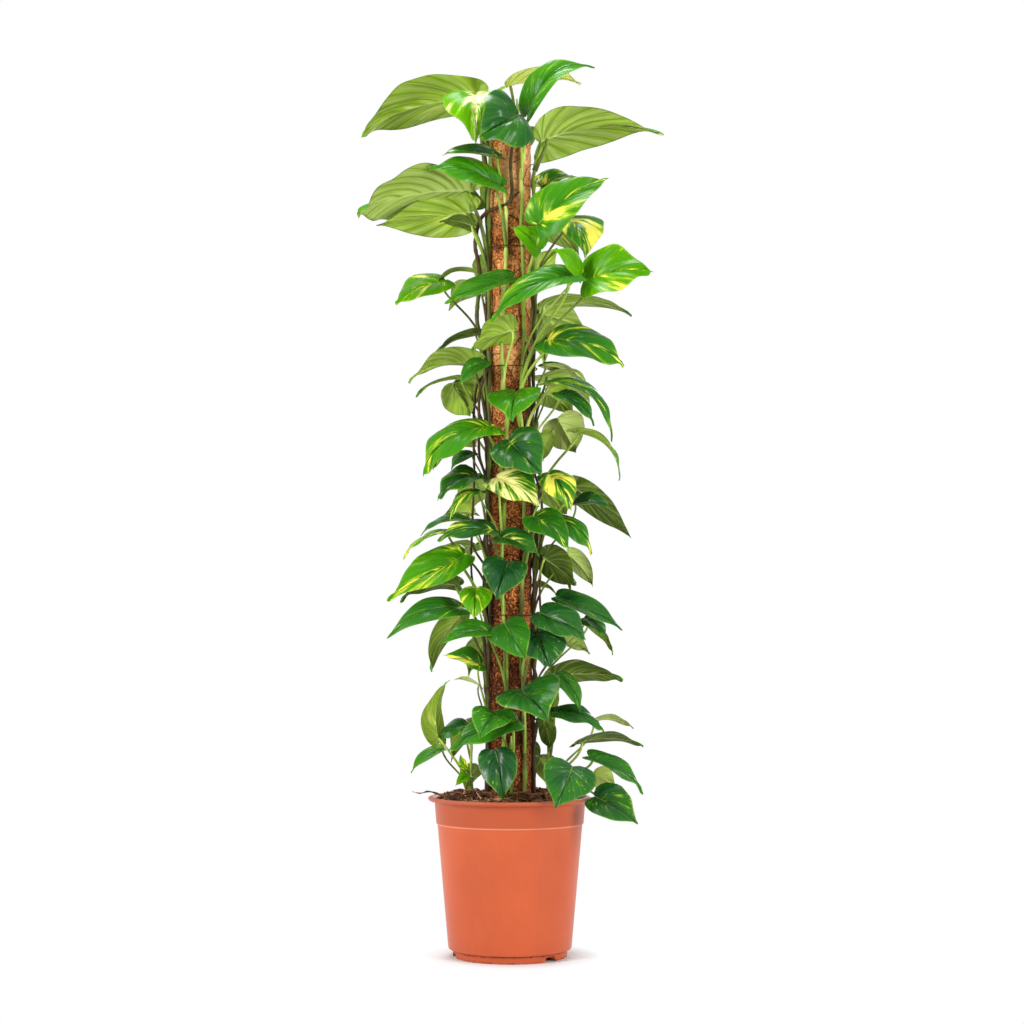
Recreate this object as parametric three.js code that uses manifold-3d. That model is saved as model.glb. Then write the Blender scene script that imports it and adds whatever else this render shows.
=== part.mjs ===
// A golden pothos trained up a coir moss pole in a round nursery pot.
// Millimetres, +Z up, origin on the floor under the middle of the pot, -Y towards the viewer.
import * as THREE from 'three';
import { mergeVertices } from 'three/addons/utils/BufferGeometryUtils.js';
import Module from 'manifold-3d';

const wasm = await Module();
wasm.setup();

// Fits
const SEAT_GAP = 0.3; // between pieces that rest on each other
const ROOT_BALL_GAP = 0.8; // between the root ball and the pot wall, so that it slides out

// Nursery pot
const POT_HEIGHT = 231;
const LIP_DIAMETER = 240;
const LIP_HEIGHT = 6;
const LIP_ROUND = 2; // rounding of the lip's edges
const LIP_OVERHANG = 9.5; // how far the lip stands out from the collar
const COLLAR_HEIGHT = 33; // plain band under the lip
const COLLAR_STEP = 1.8; // the wall steps in under the collar
const COLLAR_TAPER = 2.6;
const STEP_SLOPE = 2; // height over which the wall steps in
const FOOT_DIAMETER = 166;
const FOOT_HEIGHT = 10;
const FOOT_STEP = 7; // the foot stands in from the wall above it
const FOOT_FLARE = 1; // the foot widens upwards
const FOOT_WIDTH = 12; // flat ring that the pot stands on
const POT_WALL = 2;
const FLOOR_RAISE = 4; // underside of the pot's floor above the ground
const FLOOR_THICKNESS = 2.5;
const DRAIN_COUNT = 3;
const DRAIN_WIDTH = 20;
const DRAIN_HEIGHT = 7;
const DRAIN_BEARING = 44; // degrees right of the front

// Root ball
const SOIL_BELOW_LIP = 5;
const SOIL_MOUND = 11; // how much higher the soil lies round the pole
const SOIL_EDGE_ROUND = 3; // rounding of the soil at the pot's wall

// Moss pole
const POLE_LENGTH = 1200;
const CORE_DIAMETER = 40;
const CORE_WALL = 2;
const COIR_THICKNESS = 10.2;

// Vines
const VINE_DIAMETER = 8;
const VINE_SWAY = 5; // degrees that a stem wanders round the pole
const VINE_SWAY_LENGTH = 330; // rise for one full sway
const STEM_STEP = 60; // length of one straight stretch of stem
const STEM_TOP_STUB = 14; // stem above its last leaf stalk
const SHOOT_FROM_POLE = 24; // between the coir and a shoot's stem
const SHOOT_DIAMETER = 6;
const STALK_DIAMETER = 3.4;
const STALK_RISE = 26; // least rise of a stalk from the stem to the blade
const STALK_SLOPE = 0.8; // further rise for each millimetre that it reaches out
const STALK_OUT = 0.22; // how the stalk sets off and arrives, as shares of its span
const STALK_UP = 0.3;
const STALK_BEHIND = 0.2;
const STALK_BELOW = 0.16;
const STALK_INTO_BLADE = 0.06; // share of the blade's length that the stalk runs under
const BLADE_THICKNESS = 1.6; // at the midrib; the edge is thin
const BLADE_FOLD = 0.16; // rise of each half from the midrib, as a share of the half width

// Ties
const TIE_DIAMETER = 1.6;
const TIE_HEIGHTS = [112, 264, 447, 630, 808]; // above the lip

// Sides of the round pieces
const POT_SIDES = 32;
const SOIL_SIDES = 28;
const COIR_SIDES = 28;
const CORE_SIDES = 24;
const STEM_SIDES = 6;
const STALK_SIDES = 3;
const STALK_STEPS = 3;
const TIE_SIDES = 4;
const TIE_STEPS = 24;

// Leaf places are given as seen from one viewpoint straight in front of the pole.
const EYE_DISTANCE = 2900;
const EYE_ABOVE_LIP = 223;

// Bearing of each vine round the pole: 0 faces the viewer, positive to the right.
const VINE_BEARINGS = {
  vine_front: -14,
  vine_right_front: 32,
  vine_right: 77,
  vine_right_back: 122,
  vine_back: 168,
  vine_left_back: -147,
  vine_left: -104,
  vine_left_front: -60,
};

// Bearing of each short shoot that grows from the soil beside the pole.
const SHOOT_BEARINGS = {
  shoot_front: 2,
  shoot_right: 78,
  shoot_back: 178,
  shoot_left: -80,
};

// One row for each leaf: where its stalk meets the blade, its tip, its width, the way its upper face
// looks and how far the midrib arches over the straight line, as a share of the length.
// Places are across (right), up (above the lip) and front (towards the viewer).
// The face is right, front, up.
const VINE_LEAVES = [
  // crown
  [[-44, 1038, -10], [-226, 986, 20], 95, [0.1, -0.55, 1], 0.16],
  [[-52, 1044, 34], [-53, 981, 88], 102, [0, 0.7, 0.7], 0.12],
  [[12, 1014, 70], [-45, 981, 104], 98, [0.35, 0.9, 0.25], 0.1],
  [[26, 1016, 28], [124, 1093, 34], 58, [-0.5, 0.8, 0.45], 0.24],
  [[-6, 1056, -45], [106, 1064, -115], 74, [0, -0.2, 1], 0.06],
  [[46, 973, 5], [228, 990, -20], 94, [0, -0.75, 0.65], 0.2],
  [[-14, 950, 52], [-101, 957, 80], 46, [0, 0.6, 0.8], 0.06],
  [[-14, 906, 50], [-121, 935, 82], 72, [0, 0.75, 0.65], 0.1],
  [[-55, 898, 25], [-230, 866, 60], 98, [0.1, -0.5, 0.85], 0.1],
  [[-58, 866, 10], [-201, 847, 30], 74, [0, -0.9, 0.4], 0.1],
  [[-54, 844, 35], [-106, 852, 55], 30, [0, -0.5, 0.8], 0.1],
  [[46, 905, -10], [110, 915, -60], 50, [0, 0.5, 0.8], 0.1],
  [[42, 848, 62], [148, 920, 62], 80, [-0.2, 0.9, 0.3], 0.1],
  [[86, 858, 12], [114, 799, 72], 84, [0.2, 0.6, 0.75], 0.12],
  [[46, 810, 42], [4, 846, 56], 50, [0, 0.85, 0.5], 0.08],
  [[112, 763, 80], [214, 777, 115], 84, [0, 0.9, 0.35], 0.1],
  [[106, 772, 90], [68, 812, 125], 46, [0.2, 0.8, 0.5], 0.1],
  [[96, 770, 100], [-30, 706, 125], 62, [0, 0.65, 0.75], 0.1],
  [[40, 770, -15], [70, 812, -40], 46, [0, -0.8, 0.4], 0.08],
  [[2, 766, 55], [-98, 730, 90], 52, [0, 0.6, 0.8], 0.04],
  [[-98, 763, -12], [-172, 731, 18], 82, [-0.2, 0.6, 0.75], 0.04],
  [[-46, 773, -15], [-117, 746, -15], 38, [0, 0, 1], 0.22],
  // upper middle
  [[42, 722, -20], [180, 722, -75], 68, [0, -0.2, 1], 0.06],
  [[44, 714, -40], [114, 690, -90], 58, [0, -0.7, 0.5], 0.08],
  [[55, 674, 45], [170, 637, 85], 70, [0.05, 0.75, 0.6], 0.1],
  [[8, 688, 60], [-58, 658, 88], 60, [0, -0.6, 0.75], 0.12],
  [[-47, 684, 0], [-116, 650, 10], 48, [-0.2, -0.1, 1], 0.08],
  [[-48, 638, 5], [-152, 612, 35], 66, [0, -0.3, 1], 0.1],
  [[-38, 642, 42], [-76, 608, 68], 36, [-0.2, 0.7, 0.6], 0.08],
  [[-68, 615, 0], [-142, 593, 12], 34, [0, 0, 1], 0.08],
  [[-84, 610, -15], [-58, 558, 10], 66, [0.2, -0.9, 0.1], 0.06],
  [[10, 596, 52], [2, 554, 105], 84, [-0.2, 0.7, 0.7], 0.1],
  [[-28, 544, 52], [-130, 474, 95], 74, [-0.2, 0.6, 0.8], 0.14],
  [[-2, 524, 70], [46, 474, 110], 76, [-0.1, 0.9, 0.4], 0.06],
  [[52, 607, 40], [154, 525, 62], 58, [0.5, 0.45, 0.75], 0.23],
  [[72, 593, 60], [127, 549, 88], 40, [0.2, 0.6, 0.8], 0.12],
  [[50, 636, -15], [112, 610, -40], 40, [0, -0.1, 1], 0.08],
  [[52, 595, -25], [95, 563, -50], 54, [0, -0.6, 0.7], 0.06],
  [[70, 557, -35], [98, 504, -30], 68, [0.1, -0.9, 0.1], 0.05],
  [[96, 535, 35], [163, 464, 65], 44, [0.5, 0, 0.85], 0.2],
  [[45, 533, 15], [50, 492, 30], 40, [0.3, -0.85, 0.2], 0.06],
  // middle
  [[-20, 468, 72], [44, 428, 118], 64, [0, 0.8, 0.6], 0.08],
  [[-48, 474, 42], [-108, 436, 75], 62, [-0.2, 0.6, 0.75], 0.12],
  [[-52, 518, -10], [-96, 502, -5], 44, [0, -0.2, 1], 0.1],
  [[-54, 503, 15], [-88, 482, 35], 38, [-0.2, 0.5, 0.8], 0.1],
  [[-44, 448, 58], [-90, 406, 86], 32, [-0.3, 0.6, 0.7], 0.18],
  [[-52, 415, -15], [-98, 414, -40], 38, [0, -0.5, 0.8], 0.06],
  [[-52, 400, 15], [-133, 387, 35], 44, [0, 0.3, 1], 0.12],
  [[-88, 388, 20], [-160, 353, 45], 44, [-0.3, 0.2, 0.9], 0.08],
  [[-22, 390, 60], [-108, 377, 92], 50, [0, 0.6, 0.8], 0.1],
  [[-14, 380, 68], [44, 353, 105], 48, [0, 0.6, 0.8], 0.08],
  [[36, 410, 60], [88, 363, 98], 60, [0.1, 0.75, 0.6], 0.08],
  [[52, 408, 35], [123, 360, 68], 54, [0.2, 0.6, 0.8], 0.16],
  [[58, 474, 62], [92, 421, 95], 52, [0.2, 0.8, 0.5], 0.08],
  [[92, 456, 10], [182, 378, 20], 46, [-0.4, -0.6, 0.6], 0.06],
  [[94, 428, 52], [150, 424, 78], 38, [0, 0.6, 0.8], 0.12],
  [[48, 350, 20], [101, 310, 45], 60, [-0.3, -0.6, 0.6], 0.06],
  [[84, 356, -8], [124, 307, -5], 34, [-0.3, -0.5, 0.7], 0.12],
  // lower middle
  [[-2, 342, 72], [-20, 288, 108], 70, [0, 0.9, 0.4], 0.06],
  [[-68, 352, 30], [-182, 287, 70], 70, [-0.1, 0.7, 0.7], 0.04],
  [[-74, 308, 0], [-164, 289, 18], 50, [0, -0.5, 0.8], 0.12],
  [[-68, 276, 40], [-182, 234, 78], 46, [0, 0.7, 0.7], 0.18],
  [[-50, 304, 62], [-53, 260, 92], 48, [0, 0.8, 0.6], 0.06],
  [[-69, 266, 8], [-119, 182, 28], 50, [-0.55, -0.6, 0.4], 0.1],
  [[-60, 250, -5], [-84, 238, 5], 24, [0, 0.3, 0.9], 0.08],
  [[-26, 240, 65], [-103, 224, 98], 46, [0, 0.6, 0.8], 0.1],
  [[-8, 252, 72], [24, 201, 108], 62, [0, 0.85, 0.5], 0.06],
  [[38, 241, 58], [58, 187, 90], 66, [0.2, 0.9, 0.3], 0.06],
  [[44, 268, 60], [112, 233, 92], 58, [0.1, 0.8, 0.6], 0.06],
  [[70, 291, 20], [167, 245, 42], 46, [0.1, 0.6, 0.8], 0.05],
  [[110, 260, 8], [144, 232, 20], 32, [0.2, 0.6, 0.7], 0.1],
  [[112, 250, -12], [153, 207, -20], 28, [0.3, -0.3, 0.9], 0.12],
  [[74, 231, -30], [118, 210, -55], 30, [0, -0.7, 0.6], 0.06],
  [[36, 309, -22], [70, 293, -12], 30, [0, -0.3, 0.9], 0.15],
  [[62, 174, 0], [167, 173, 12], 62, [0, -0.55, 0.85], 0.04],
  [[66, 178, 42], [106, 123, 78], 42, [0.3, 0.6, 0.7], 0.15],
  [[-42, 192, 48], [-97, 206, 78], 42, [0, 0.7, 0.6], 0.08],
  [[-44, 160, -25], [-80, 173, -50], 18, [0, -0.5, 0.8], 0.06],
  [[18, 153, 72], [55, 114, 132], 102, [0, 0.75, 0.65], 0.06],
  // back
  [[-2, 990, -48], [4, 930, -135], 88, [0.1, -0.6, 0.8], 0.16],
  [[-8, 905, -52], [-24, 850, -132], 70, [0, -0.75, 0.65], 0.12],
  [[35, 850, -48], [105, 800, -125], 88, [0.3, -0.7, 0.65], 0.12],
  [[-10, 800, -52], [-40, 740, -132], 80, [-0.25, -0.85, 0.45], 0.06],
  [[-34, 752, -48], [-92, 722, -112], 62, [-0.4, -0.6, 0.7], 0.12],
  [[24, 694, -52], [52, 640, -132], 76, [0.3, -0.55, 0.8], 0.16],
  [[-14, 640, -52], [-36, 575, -130], 70, [-0.1, -0.75, 0.65], 0.12],
  [[50, 620, -50], [120, 560, -110], 70, [0.4, -0.6, 0.7], 0.12],
  [[-46, 535, -45], [-116, 488, -105], 58, [-0.4, -0.6, 0.7], 0.12],
  [[10, 556, -55], [-6, 484, -122], 80, [-0.1, -0.9, 0.4], 0.06],
  [[36, 455, -52], [84, 405, -118], 58, [0.3, -0.7, 0.65], 0.1],
  [[-25, 460, -55], [-66, 404, -128], 66, [-0.35, -0.6, 0.75], 0.15],
  [[15, 404, -55], [26, 334, -124], 66, [0.25, -0.85, 0.4], 0.05],
  [[-50, 370, -45], [-120, 320, -108], 62, [-0.4, -0.6, 0.7], 0.1],
  [[40, 355, -52], [92, 305, -112], 54, [0.4, -0.6, 0.7], 0.1],
  [[-15, 306, -55], [-34, 252, -132], 62, [-0.2, -0.6, 0.8], 0.17],
  [[25, 250, -55], [60, 195, -126], 62, [0.2, -0.75, 0.65], 0.1],
  [[-30, 232, -52], [-62, 176, -122], 52, [-0.3, -0.7, 0.65], 0.1],
  [[-4, 184, -58], [-2, 112, -124], 58, [0.15, -0.88, 0.4], 0.06],
  [[40, 168, -55], [66, 111, -126], 46, [0.3, -0.7, 0.65], 0.1],
  [[-40, 108, -55], [-88, 55, -122], 50, [-0.3, -0.7, 0.65], 0.1],
];

const SHOOT_LEAVES = [
  [[-103, 78, 30], [-92, 170, 42], 46, [-0.6, -0.5, 0.1], 0.14],
  [[-62, 104, 18], [-105, 84, 28], 50, [0, 0.4, 0.9], 0.08],
  [[10, 110, 70], [-91, 67, 92], 54, [0, 0.65, 0.75], 0.1],
  [[-20, 118, 94], [-45, 86, 130], 58, [0, 0.7, 0.7], 0.08],
  [[-96, 68, 15], [-146, 34, 38], 36, [-0.3, 0.4, 0.8], 0.08],
  [[-22, 66, 85], [-10, -6, 108], 58, [0, 0.95, 0.25], 0.05],
  [[92, 43, 100], [66, -17, 130], 80, [0, 0.9, 0.4], 0.05],
  [[50, 110, 25], [60, 67, 38], 34, [0.3, -0.7, 0.4], 0.06],
  [[60, 122, 50], [140, 95, 82], 46, [0, 0.5, 0.85], 0.12],
  [[100, 77, 0], [196, 75, -25], 54, [0, -0.35, 1], 0.08],
  [[120, 108, -45], [182, 99, -75], 34, [0, -0.3, 0.9], 0.12],
  [[117, 56, 28], [199, 9, 42], 52, [0.4, 0.4, 0.8], 0.04],
  [[122, 30, 0], [155, 16, -15], 44, [0.3, -0.8, 0.3], 0.05],
  [[124, -1, 62], [188, -40, 92], 62, [0.1, 0.8, 0.5], 0.06],
  [[-60, 30, 40], [-80, 16, 55], 20, [-0.3, 0.8, 0.4], 0.08],
  [[-64, 38, 35], [-73, 60, 40], 15, [-0.3, 0.8, 0.2], 0.06],
  [[15, 80, -65], [25, 15, -126], 56, [0, -0.75, 0.65], 0.1],
  [[-44, 44, -70], [-66, 6, -122], 44, [-0.3, -0.7, 0.65], 0.1],
  [[42, 56, -68], [64, 4, -122], 46, [0.2, -0.7, 0.65], 0.1],
];

// Outline of one half of a blade: along from the stalk (share of the length) and out (share of the width).
const BLADE_OUTLINE = [[-0.07, 0.24], [0.1, 0.44], [0.34, 0.5], [0.66, 0.3]];
// Places along the midrib, between the stalk and the tip, that the two halves fold on.
const BLADE_MIDRIB = [0.14, 0.38, 0.7];

// Worked-out sizes
const CORE_RADIUS = CORE_DIAMETER / 2;
const POLE_RADIUS = CORE_RADIUS + SEAT_GAP + COIR_THICKNESS;
const VINE_RADIUS = POLE_RADIUS + SEAT_GAP + VINE_DIAMETER / 2;
const SHOOT_RADIUS = POLE_RADIUS + SHOOT_FROM_POLE + SHOOT_DIAMETER / 2;
const TIE_RADIUS = VINE_RADIUS + VINE_DIAMETER / 2 + SEAT_GAP + TIE_DIAMETER / 2;
const FLOOR_TOP = FLOOR_RAISE + FLOOR_THICKNESS;
const POLE_BOTTOM = FLOOR_TOP + SEAT_GAP;
const SOIL_LEVEL = POT_HEIGHT - SOIL_BELOW_LIP;
const SOIL_PEAK = SOIL_LEVEL + SOIL_MOUND;
const COLLAR_RADIUS = LIP_DIAMETER / 2 - LIP_OVERHANG;
const COLLAR_BOTTOM = POT_HEIGHT - LIP_HEIGHT - COLLAR_HEIGHT;
const COLLAR_FOOT_RADIUS = COLLAR_RADIUS - COLLAR_TAPER;
const WALL_TOP_RADIUS = COLLAR_FOOT_RADIUS - COLLAR_STEP;
const FOOT_RADIUS = FOOT_DIAMETER / 2;
const WALL_FOOT_RADIUS = FOOT_RADIUS + FOOT_STEP;
const SOIL_HOLE = POLE_RADIUS + SEAT_GAP;
const SOIL_EDGE = COLLAR_FOOT_RADIUS - POT_WALL - ROOT_BALL_GAP;

// Colours
const finish = (color, roughness) => new THREE.MeshStandardMaterial({ color, roughness, metalness: 0 });
const terracottaPlastic = finish(0xcf6440, 0.42);
const soilBrown = finish(0x3a2417, 0.95);
const greyPlastic = finish(0x8c8c88, 0.5);
const coirBrown = finish(0x8e5a34, 0.95);
const tieBrown = finish(0x4d3d24, 0.8);
const leafGreen = finish(0x3d7a26, 0.4);

// Closed geometry to a solid, and back
function toSolid(geometry) {
  const bare = geometry.clone();
  bare.deleteAttribute('normal');
  bare.deleteAttribute('uv');
  const merged = mergeVertices(bare, 1e-4);
  return new wasm.Manifold(new wasm.Mesh({
    numProp: 3,
    vertProperties: new Float32Array(merged.attributes.position.array),
    triVerts: new Uint32Array(merged.index.array),
  }));
}

function toGeometry(solid) {
  const { vertProperties, triVerts } = solid.getMesh();
  const geometry = new THREE.BufferGeometry();
  geometry.setAttribute('position', new THREE.BufferAttribute(new Float32Array(vertProperties), 3));
  geometry.setIndex(new THREE.BufferAttribute(new Uint32Array(triVerts), 1));
  geometry.computeVertexNormals();
  return geometry;
}

function named(name, geometry, material) {
  const mesh = new THREE.Mesh(geometry, material);
  mesh.name = name;
  return mesh;
}

// Turns a profile of [radius, height] points round the Z axis.
function turned(profile, segments) {
  const points = profile.map(([radius, height]) => new THREE.Vector2(radius, height));
  return new THREE.LatheGeometry(points, segments).rotateX(Math.PI / 2);
}

// A round bar of the given diameter along a curve.
function bar(curve, diameter, sides, steps) {
  const section = new THREE.Shape();
  for (let i = 0; i < sides; i++) {
    const turn = (i / sides) * 2 * Math.PI;
    const point = [Math.cos(turn) * diameter / 2, Math.sin(turn) * diameter / 2];
    if (i === 0) section.moveTo(...point);
    else section.lineTo(...point);
  }
  section.closePath();
  return new THREE.ExtrudeGeometry(section, { steps, extrudePath: curve, bevelEnabled: false });
}

// A point at a bearing round the pole's axis: 0 degrees faces the viewer, positive to the right.
function aroundPole(radius, bearing, height) {
  const turn = THREE.MathUtils.degToRad(bearing);
  return new THREE.Vector3(radius * Math.sin(turn), -radius * Math.cos(turn), height);
}

// A place as seen against the pole's own plane, moved along its line of sight to its real depth.
function fromSight([across, up, front]) {
  const nearer = 1 - front / EYE_DISTANCE;
  const height = POT_HEIGHT + EYE_ABOVE_LIP + (up - EYE_ABOVE_LIP) * nearer;
  return new THREE.Vector3(across * nearer, -front, height);
}

// Nursery pot
function nurseryPot() {
  const lip = LIP_DIAMETER / 2;
  const lipBottom = POT_HEIGHT - LIP_HEIGHT;
  const footTop = FOOT_RADIUS + FOOT_FLARE;
  const mouth = COLLAR_RADIUS - POT_WALL;
  const outside = [
    [0, FLOOR_RAISE],
    [FOOT_RADIUS - FOOT_WIDTH, FLOOR_RAISE],
    [FOOT_RADIUS - FOOT_WIDTH, 0],
    [FOOT_RADIUS, 0],
    [footTop, FOOT_HEIGHT],
    [WALL_FOOT_RADIUS, FOOT_HEIGHT + STEP_SLOPE],
    [WALL_TOP_RADIUS, COLLAR_BOTTOM - STEP_SLOPE],
    [COLLAR_FOOT_RADIUS, COLLAR_BOTTOM],
    [COLLAR_RADIUS, lipBottom - LIP_ROUND],
    [lip - LIP_ROUND, lipBottom],
    [lip, lipBottom + LIP_ROUND],
    [lip, POT_HEIGHT - LIP_ROUND],
    [lip - LIP_ROUND, POT_HEIGHT],
  ];
  const inside = [
    [mouth + LIP_ROUND, POT_HEIGHT],
    [mouth, POT_HEIGHT - LIP_ROUND],
    [COLLAR_FOOT_RADIUS - POT_WALL, COLLAR_BOTTOM],
    [WALL_TOP_RADIUS - POT_WALL, COLLAR_BOTTOM - STEP_SLOPE],
    [WALL_FOOT_RADIUS - POT_WALL, FOOT_HEIGHT + STEP_SLOPE],
    [footTop - POT_WALL, FOOT_HEIGHT],
    [FOOT_RADIUS - POT_WALL, FLOOR_TOP],
    [0, FLOOR_TOP],
  ];
  let pot = toSolid(turned([...outside, ...inside], POT_SIDES));
  const slot = new THREE.BoxGeometry(DRAIN_WIDTH, FOOT_WIDTH + FOOT_STEP, 2 * DRAIN_HEIGHT);
  for (let i = 0; i < DRAIN_COUNT; i++) {
    const bearing = DRAIN_BEARING + (i * 360) / DRAIN_COUNT;
    const place = aroundPole(FOOT_RADIUS, bearing, 0);
    const turnedSlot = slot.clone().rotateZ(THREE.MathUtils.degToRad(bearing)).translate(...place);
    pot = pot.subtract(toSolid(turnedSlot));
  }
  return named('nursery_pot', toGeometry(pot), terracottaPlastic);
}

// Root ball: soil and roots in the shape of the pot, with the pole's hole through it
function rootBall() {
  const inset = POT_WALL + ROOT_BALL_GAP;
  const bottom = FLOOR_TOP + SEAT_GAP;
  const profile = [
    [SOIL_HOLE, bottom],
    [FOOT_RADIUS - inset, bottom],
    [FOOT_RADIUS + FOOT_FLARE - inset, FOOT_HEIGHT],
    [WALL_FOOT_RADIUS - inset, FOOT_HEIGHT + STEP_SLOPE + ROOT_BALL_GAP],
    [WALL_TOP_RADIUS - inset, COLLAR_BOTTOM],
    [SOIL_EDGE, SOIL_LEVEL - SOIL_EDGE_ROUND],
    [SOIL_EDGE - SOIL_EDGE_ROUND, SOIL_LEVEL],
    [SOIL_HOLE, SOIL_PEAK],
    [SOIL_HOLE, bottom],
  ];
  return named('root_ball', turned(profile, SOIL_SIDES), soilBrown);
}

// Height of the soil's surface at a distance from the pole's axis
function soilAt(radius) {
  const share = (radius - SOIL_HOLE) / (SOIL_EDGE - SOIL_EDGE_ROUND - SOIL_HOLE);
  return SOIL_PEAK - SOIL_MOUND * share;
}

// Moss pole: a plastic core tube and the coir mat wrapped round it
function sleeve(name, inner, outer, sides, material) {
  const top = POLE_BOTTOM + POLE_LENGTH;
  const inside = [[inner, top], [inner, POLE_BOTTOM]];
  const profile = [[inner, POLE_BOTTOM], [outer, POLE_BOTTOM], [outer, top], ...inside];
  return named(name, turned(profile, sides), material);
}

// A tie loop round the pole and the stems
function tie(index, heightAboveLip) {
  const ring = new THREE.TorusGeometry(TIE_RADIUS, TIE_DIAMETER / 2, TIE_SIDES, TIE_STEPS);
  return named(`vine_tie_${index + 1}`, ring.translate(0, 0, POT_HEIGHT + heightAboveLip), tieBrown);
}

// The stems: vines climb the pole and wander round it, shoots stand in the soil beside it.
function vineAt(bearing, height) {
  const climb = ((height - SOIL_PEAK) / VINE_SWAY_LENGTH) * 2 * Math.PI;
  return aroundPole(VINE_RADIUS, bearing + VINE_SWAY * Math.sin(climb + bearing), height);
}

function shootAt(bearing, height) {
  return aroundPole(SHOOT_RADIUS, bearing, height);
}

const vines = { bearings: VINE_BEARINGS, diameter: VINE_DIAMETER, radius: VINE_RADIUS, at: vineAt };
const shoots = { bearings: SHOOT_BEARINGS, diameter: SHOOT_DIAMETER, radius: SHOOT_RADIUS, at: shootAt };

// The stem that stands nearest to a place, by bearing.
function nearestStem(stems, place) {
  const bearing = THREE.MathUtils.radToDeg(Math.atan2(place.x, -place.y));
  const apart = (name) => Math.abs(((bearing - stems.bearings[name] + 540) % 360) - 180);
  return Object.keys(stems.bearings).sort((a, b) => apart(a) - apart(b))[0];
}

// A leaf's own frame, its stem and the height at which its stalk leaves the stem
function readLeaf(stems, [baseSeen, tipSeen, width, face, arch]) {
  const base = fromSight(baseSeen);
  const tip = fromSight(tipSeen);
  const along = tip.clone().sub(base);
  const length = along.length();
  along.normalize();
  const up = new THREE.Vector3(face[0], -face[1], face[2]);
  up.addScaledVector(along, -up.dot(along)).normalize();
  const side = new THREE.Vector3().crossVectors(along, up);
  const stem = nearestStem(stems, base);
  const reach = Math.max(0, Math.hypot(base.x, base.y) - stems.radius);
  const lowest = SOIL_PEAK + stems.diameter;
  const from = Math.max(lowest, base.z - STALK_RISE - reach * STALK_SLOPE);
  const root = stems.at(stems.bearings[stem], from);
  return { base, tip, along, up, side, length, width, arch, stem, from, root };
}

// A point of the blade: along from the stalk, out from the midrib (both shares) and off its middle surface.
function bladePoint(leaf, along, out, off = 0) {
  const rise = leaf.arch * leaf.length * 4 * along * (1 - along) + Math.abs(out) * leaf.width * BLADE_FOLD;
  return leaf.base.clone()
    .addScaledVector(leaf.along, along * leaf.length)
    .addScaledVector(leaf.side, out * leaf.width)
    .addScaledVector(leaf.up, rise + off);
}

// The blade as a thin closed solid, thickest at the midrib
function blade(leaf) {
  const points = [];
  const add = (...place) => points.push(bladePoint(leaf, ...place)) - 1;
  const stalk = add(0, 0);
  const tip = add(1, 0);
  const edges = [1, -1].map((half) => BLADE_OUTLINE.map(([along, out]) => add(along, half * out)));
  const ribs = [1, -1].map((face) => BLADE_MIDRIB.map((along) => add(along, 0, face * BLADE_THICKNESS / 2)));
  const triangles = [];
  edges.forEach((edge, half) => ribs.forEach((rib, face) => {
    const corners = [[stalk, edge[0], rib[0]], [rib[0], edge[0], edge[1]]];
    for (let i = 0; i < BLADE_MIDRIB.length - 1; i++) {
      corners.push([rib[i], edge[i + 1], edge[i + 2]], [rib[i], edge[i + 2], rib[i + 1]]);
    }
    corners.push([rib[BLADE_MIDRIB.length - 1], edge[BLADE_OUTLINE.length - 1], tip]);
    corners.forEach(([a, b, c]) => triangles.push(...(half === face ? [a, b, c] : [a, c, b])));
  }));
  const geometry = new THREE.BufferGeometry().setFromPoints(points);
  geometry.setIndex(triangles);
  return geometry;
}

// The stalk rises from the stem and bends over into the blade.
function stalk(leaf) {
  const { root } = leaf;
  const end = bladePoint(leaf, STALK_INTO_BLADE, 0);
  const span = root.distanceTo(leaf.base);
  const outward = new THREE.Vector3(root.x, root.y, 0).normalize();
  const leaving = root.clone().addScaledVector(outward, span * STALK_OUT);
  leaving.z += span * STALK_UP;
  const arriving = end.clone().addScaledVector(leaf.up, -span * STALK_BEHIND);
  arriving.z -= span * STALK_BELOW;
  const curve = new THREE.CubicBezierCurve3(root, leaving, arriving, end);
  return bar(curve, STALK_DIAMETER, STALK_SIDES, STALK_STEPS);
}

// A vine or shoot: its stem, with the stalks and blades that grow from it
function grow(stems, name, leaves) {
  const bottom = soilAt(stems.radius - stems.diameter / 2) + SEAT_GAP;
  const top = Math.max(...leaves.map((leaf) => leaf.from)) + STEM_TOP_STUB;
  const steps = Math.max(2, Math.round((top - bottom) / STEM_STEP));
  const line = [];
  for (let i = 0; i <= steps; i++) {
    line.push(stems.at(stems.bearings[name], bottom + ((top - bottom) * i) / steps));
  }
  let grown = toSolid(bar(new THREE.CatmullRomCurve3(line), stems.diameter, STEM_SIDES, steps));
  for (const leaf of leaves) {
    grown = grown.add(toSolid(stalk(leaf))).add(toSolid(blade(leaf)));
  }
  return named(name, toGeometry(grown), leafGreen);
}

// Assembly
const part = new THREE.Group();
part.name = 'moss_pole_plant';
part.add(nurseryPot(), rootBall());
part.add(
  sleeve('core_tube', CORE_RADIUS - CORE_WALL, CORE_RADIUS, CORE_SIDES, greyPlastic),
  sleeve('coir_sleeve', CORE_RADIUS + SEAT_GAP, POLE_RADIUS, COIR_SIDES, coirBrown),
);
TIE_HEIGHTS.forEach((height, index) => part.add(tie(index, height)));
for (const [stems, rows] of [[vines, VINE_LEAVES], [shoots, SHOOT_LEAVES]]) {
  const leaves = rows.map((row) => readLeaf(stems, row));
  for (const name of Object.keys(stems.bearings)) {
    part.add(grow(stems, name, leaves.filter((leaf) => leaf.stem === name)));
  }
}

export default part;
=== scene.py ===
import math
import random
from types import SimpleNamespace

import bpy
from mathutils import Matrix, Vector, noise


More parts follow.
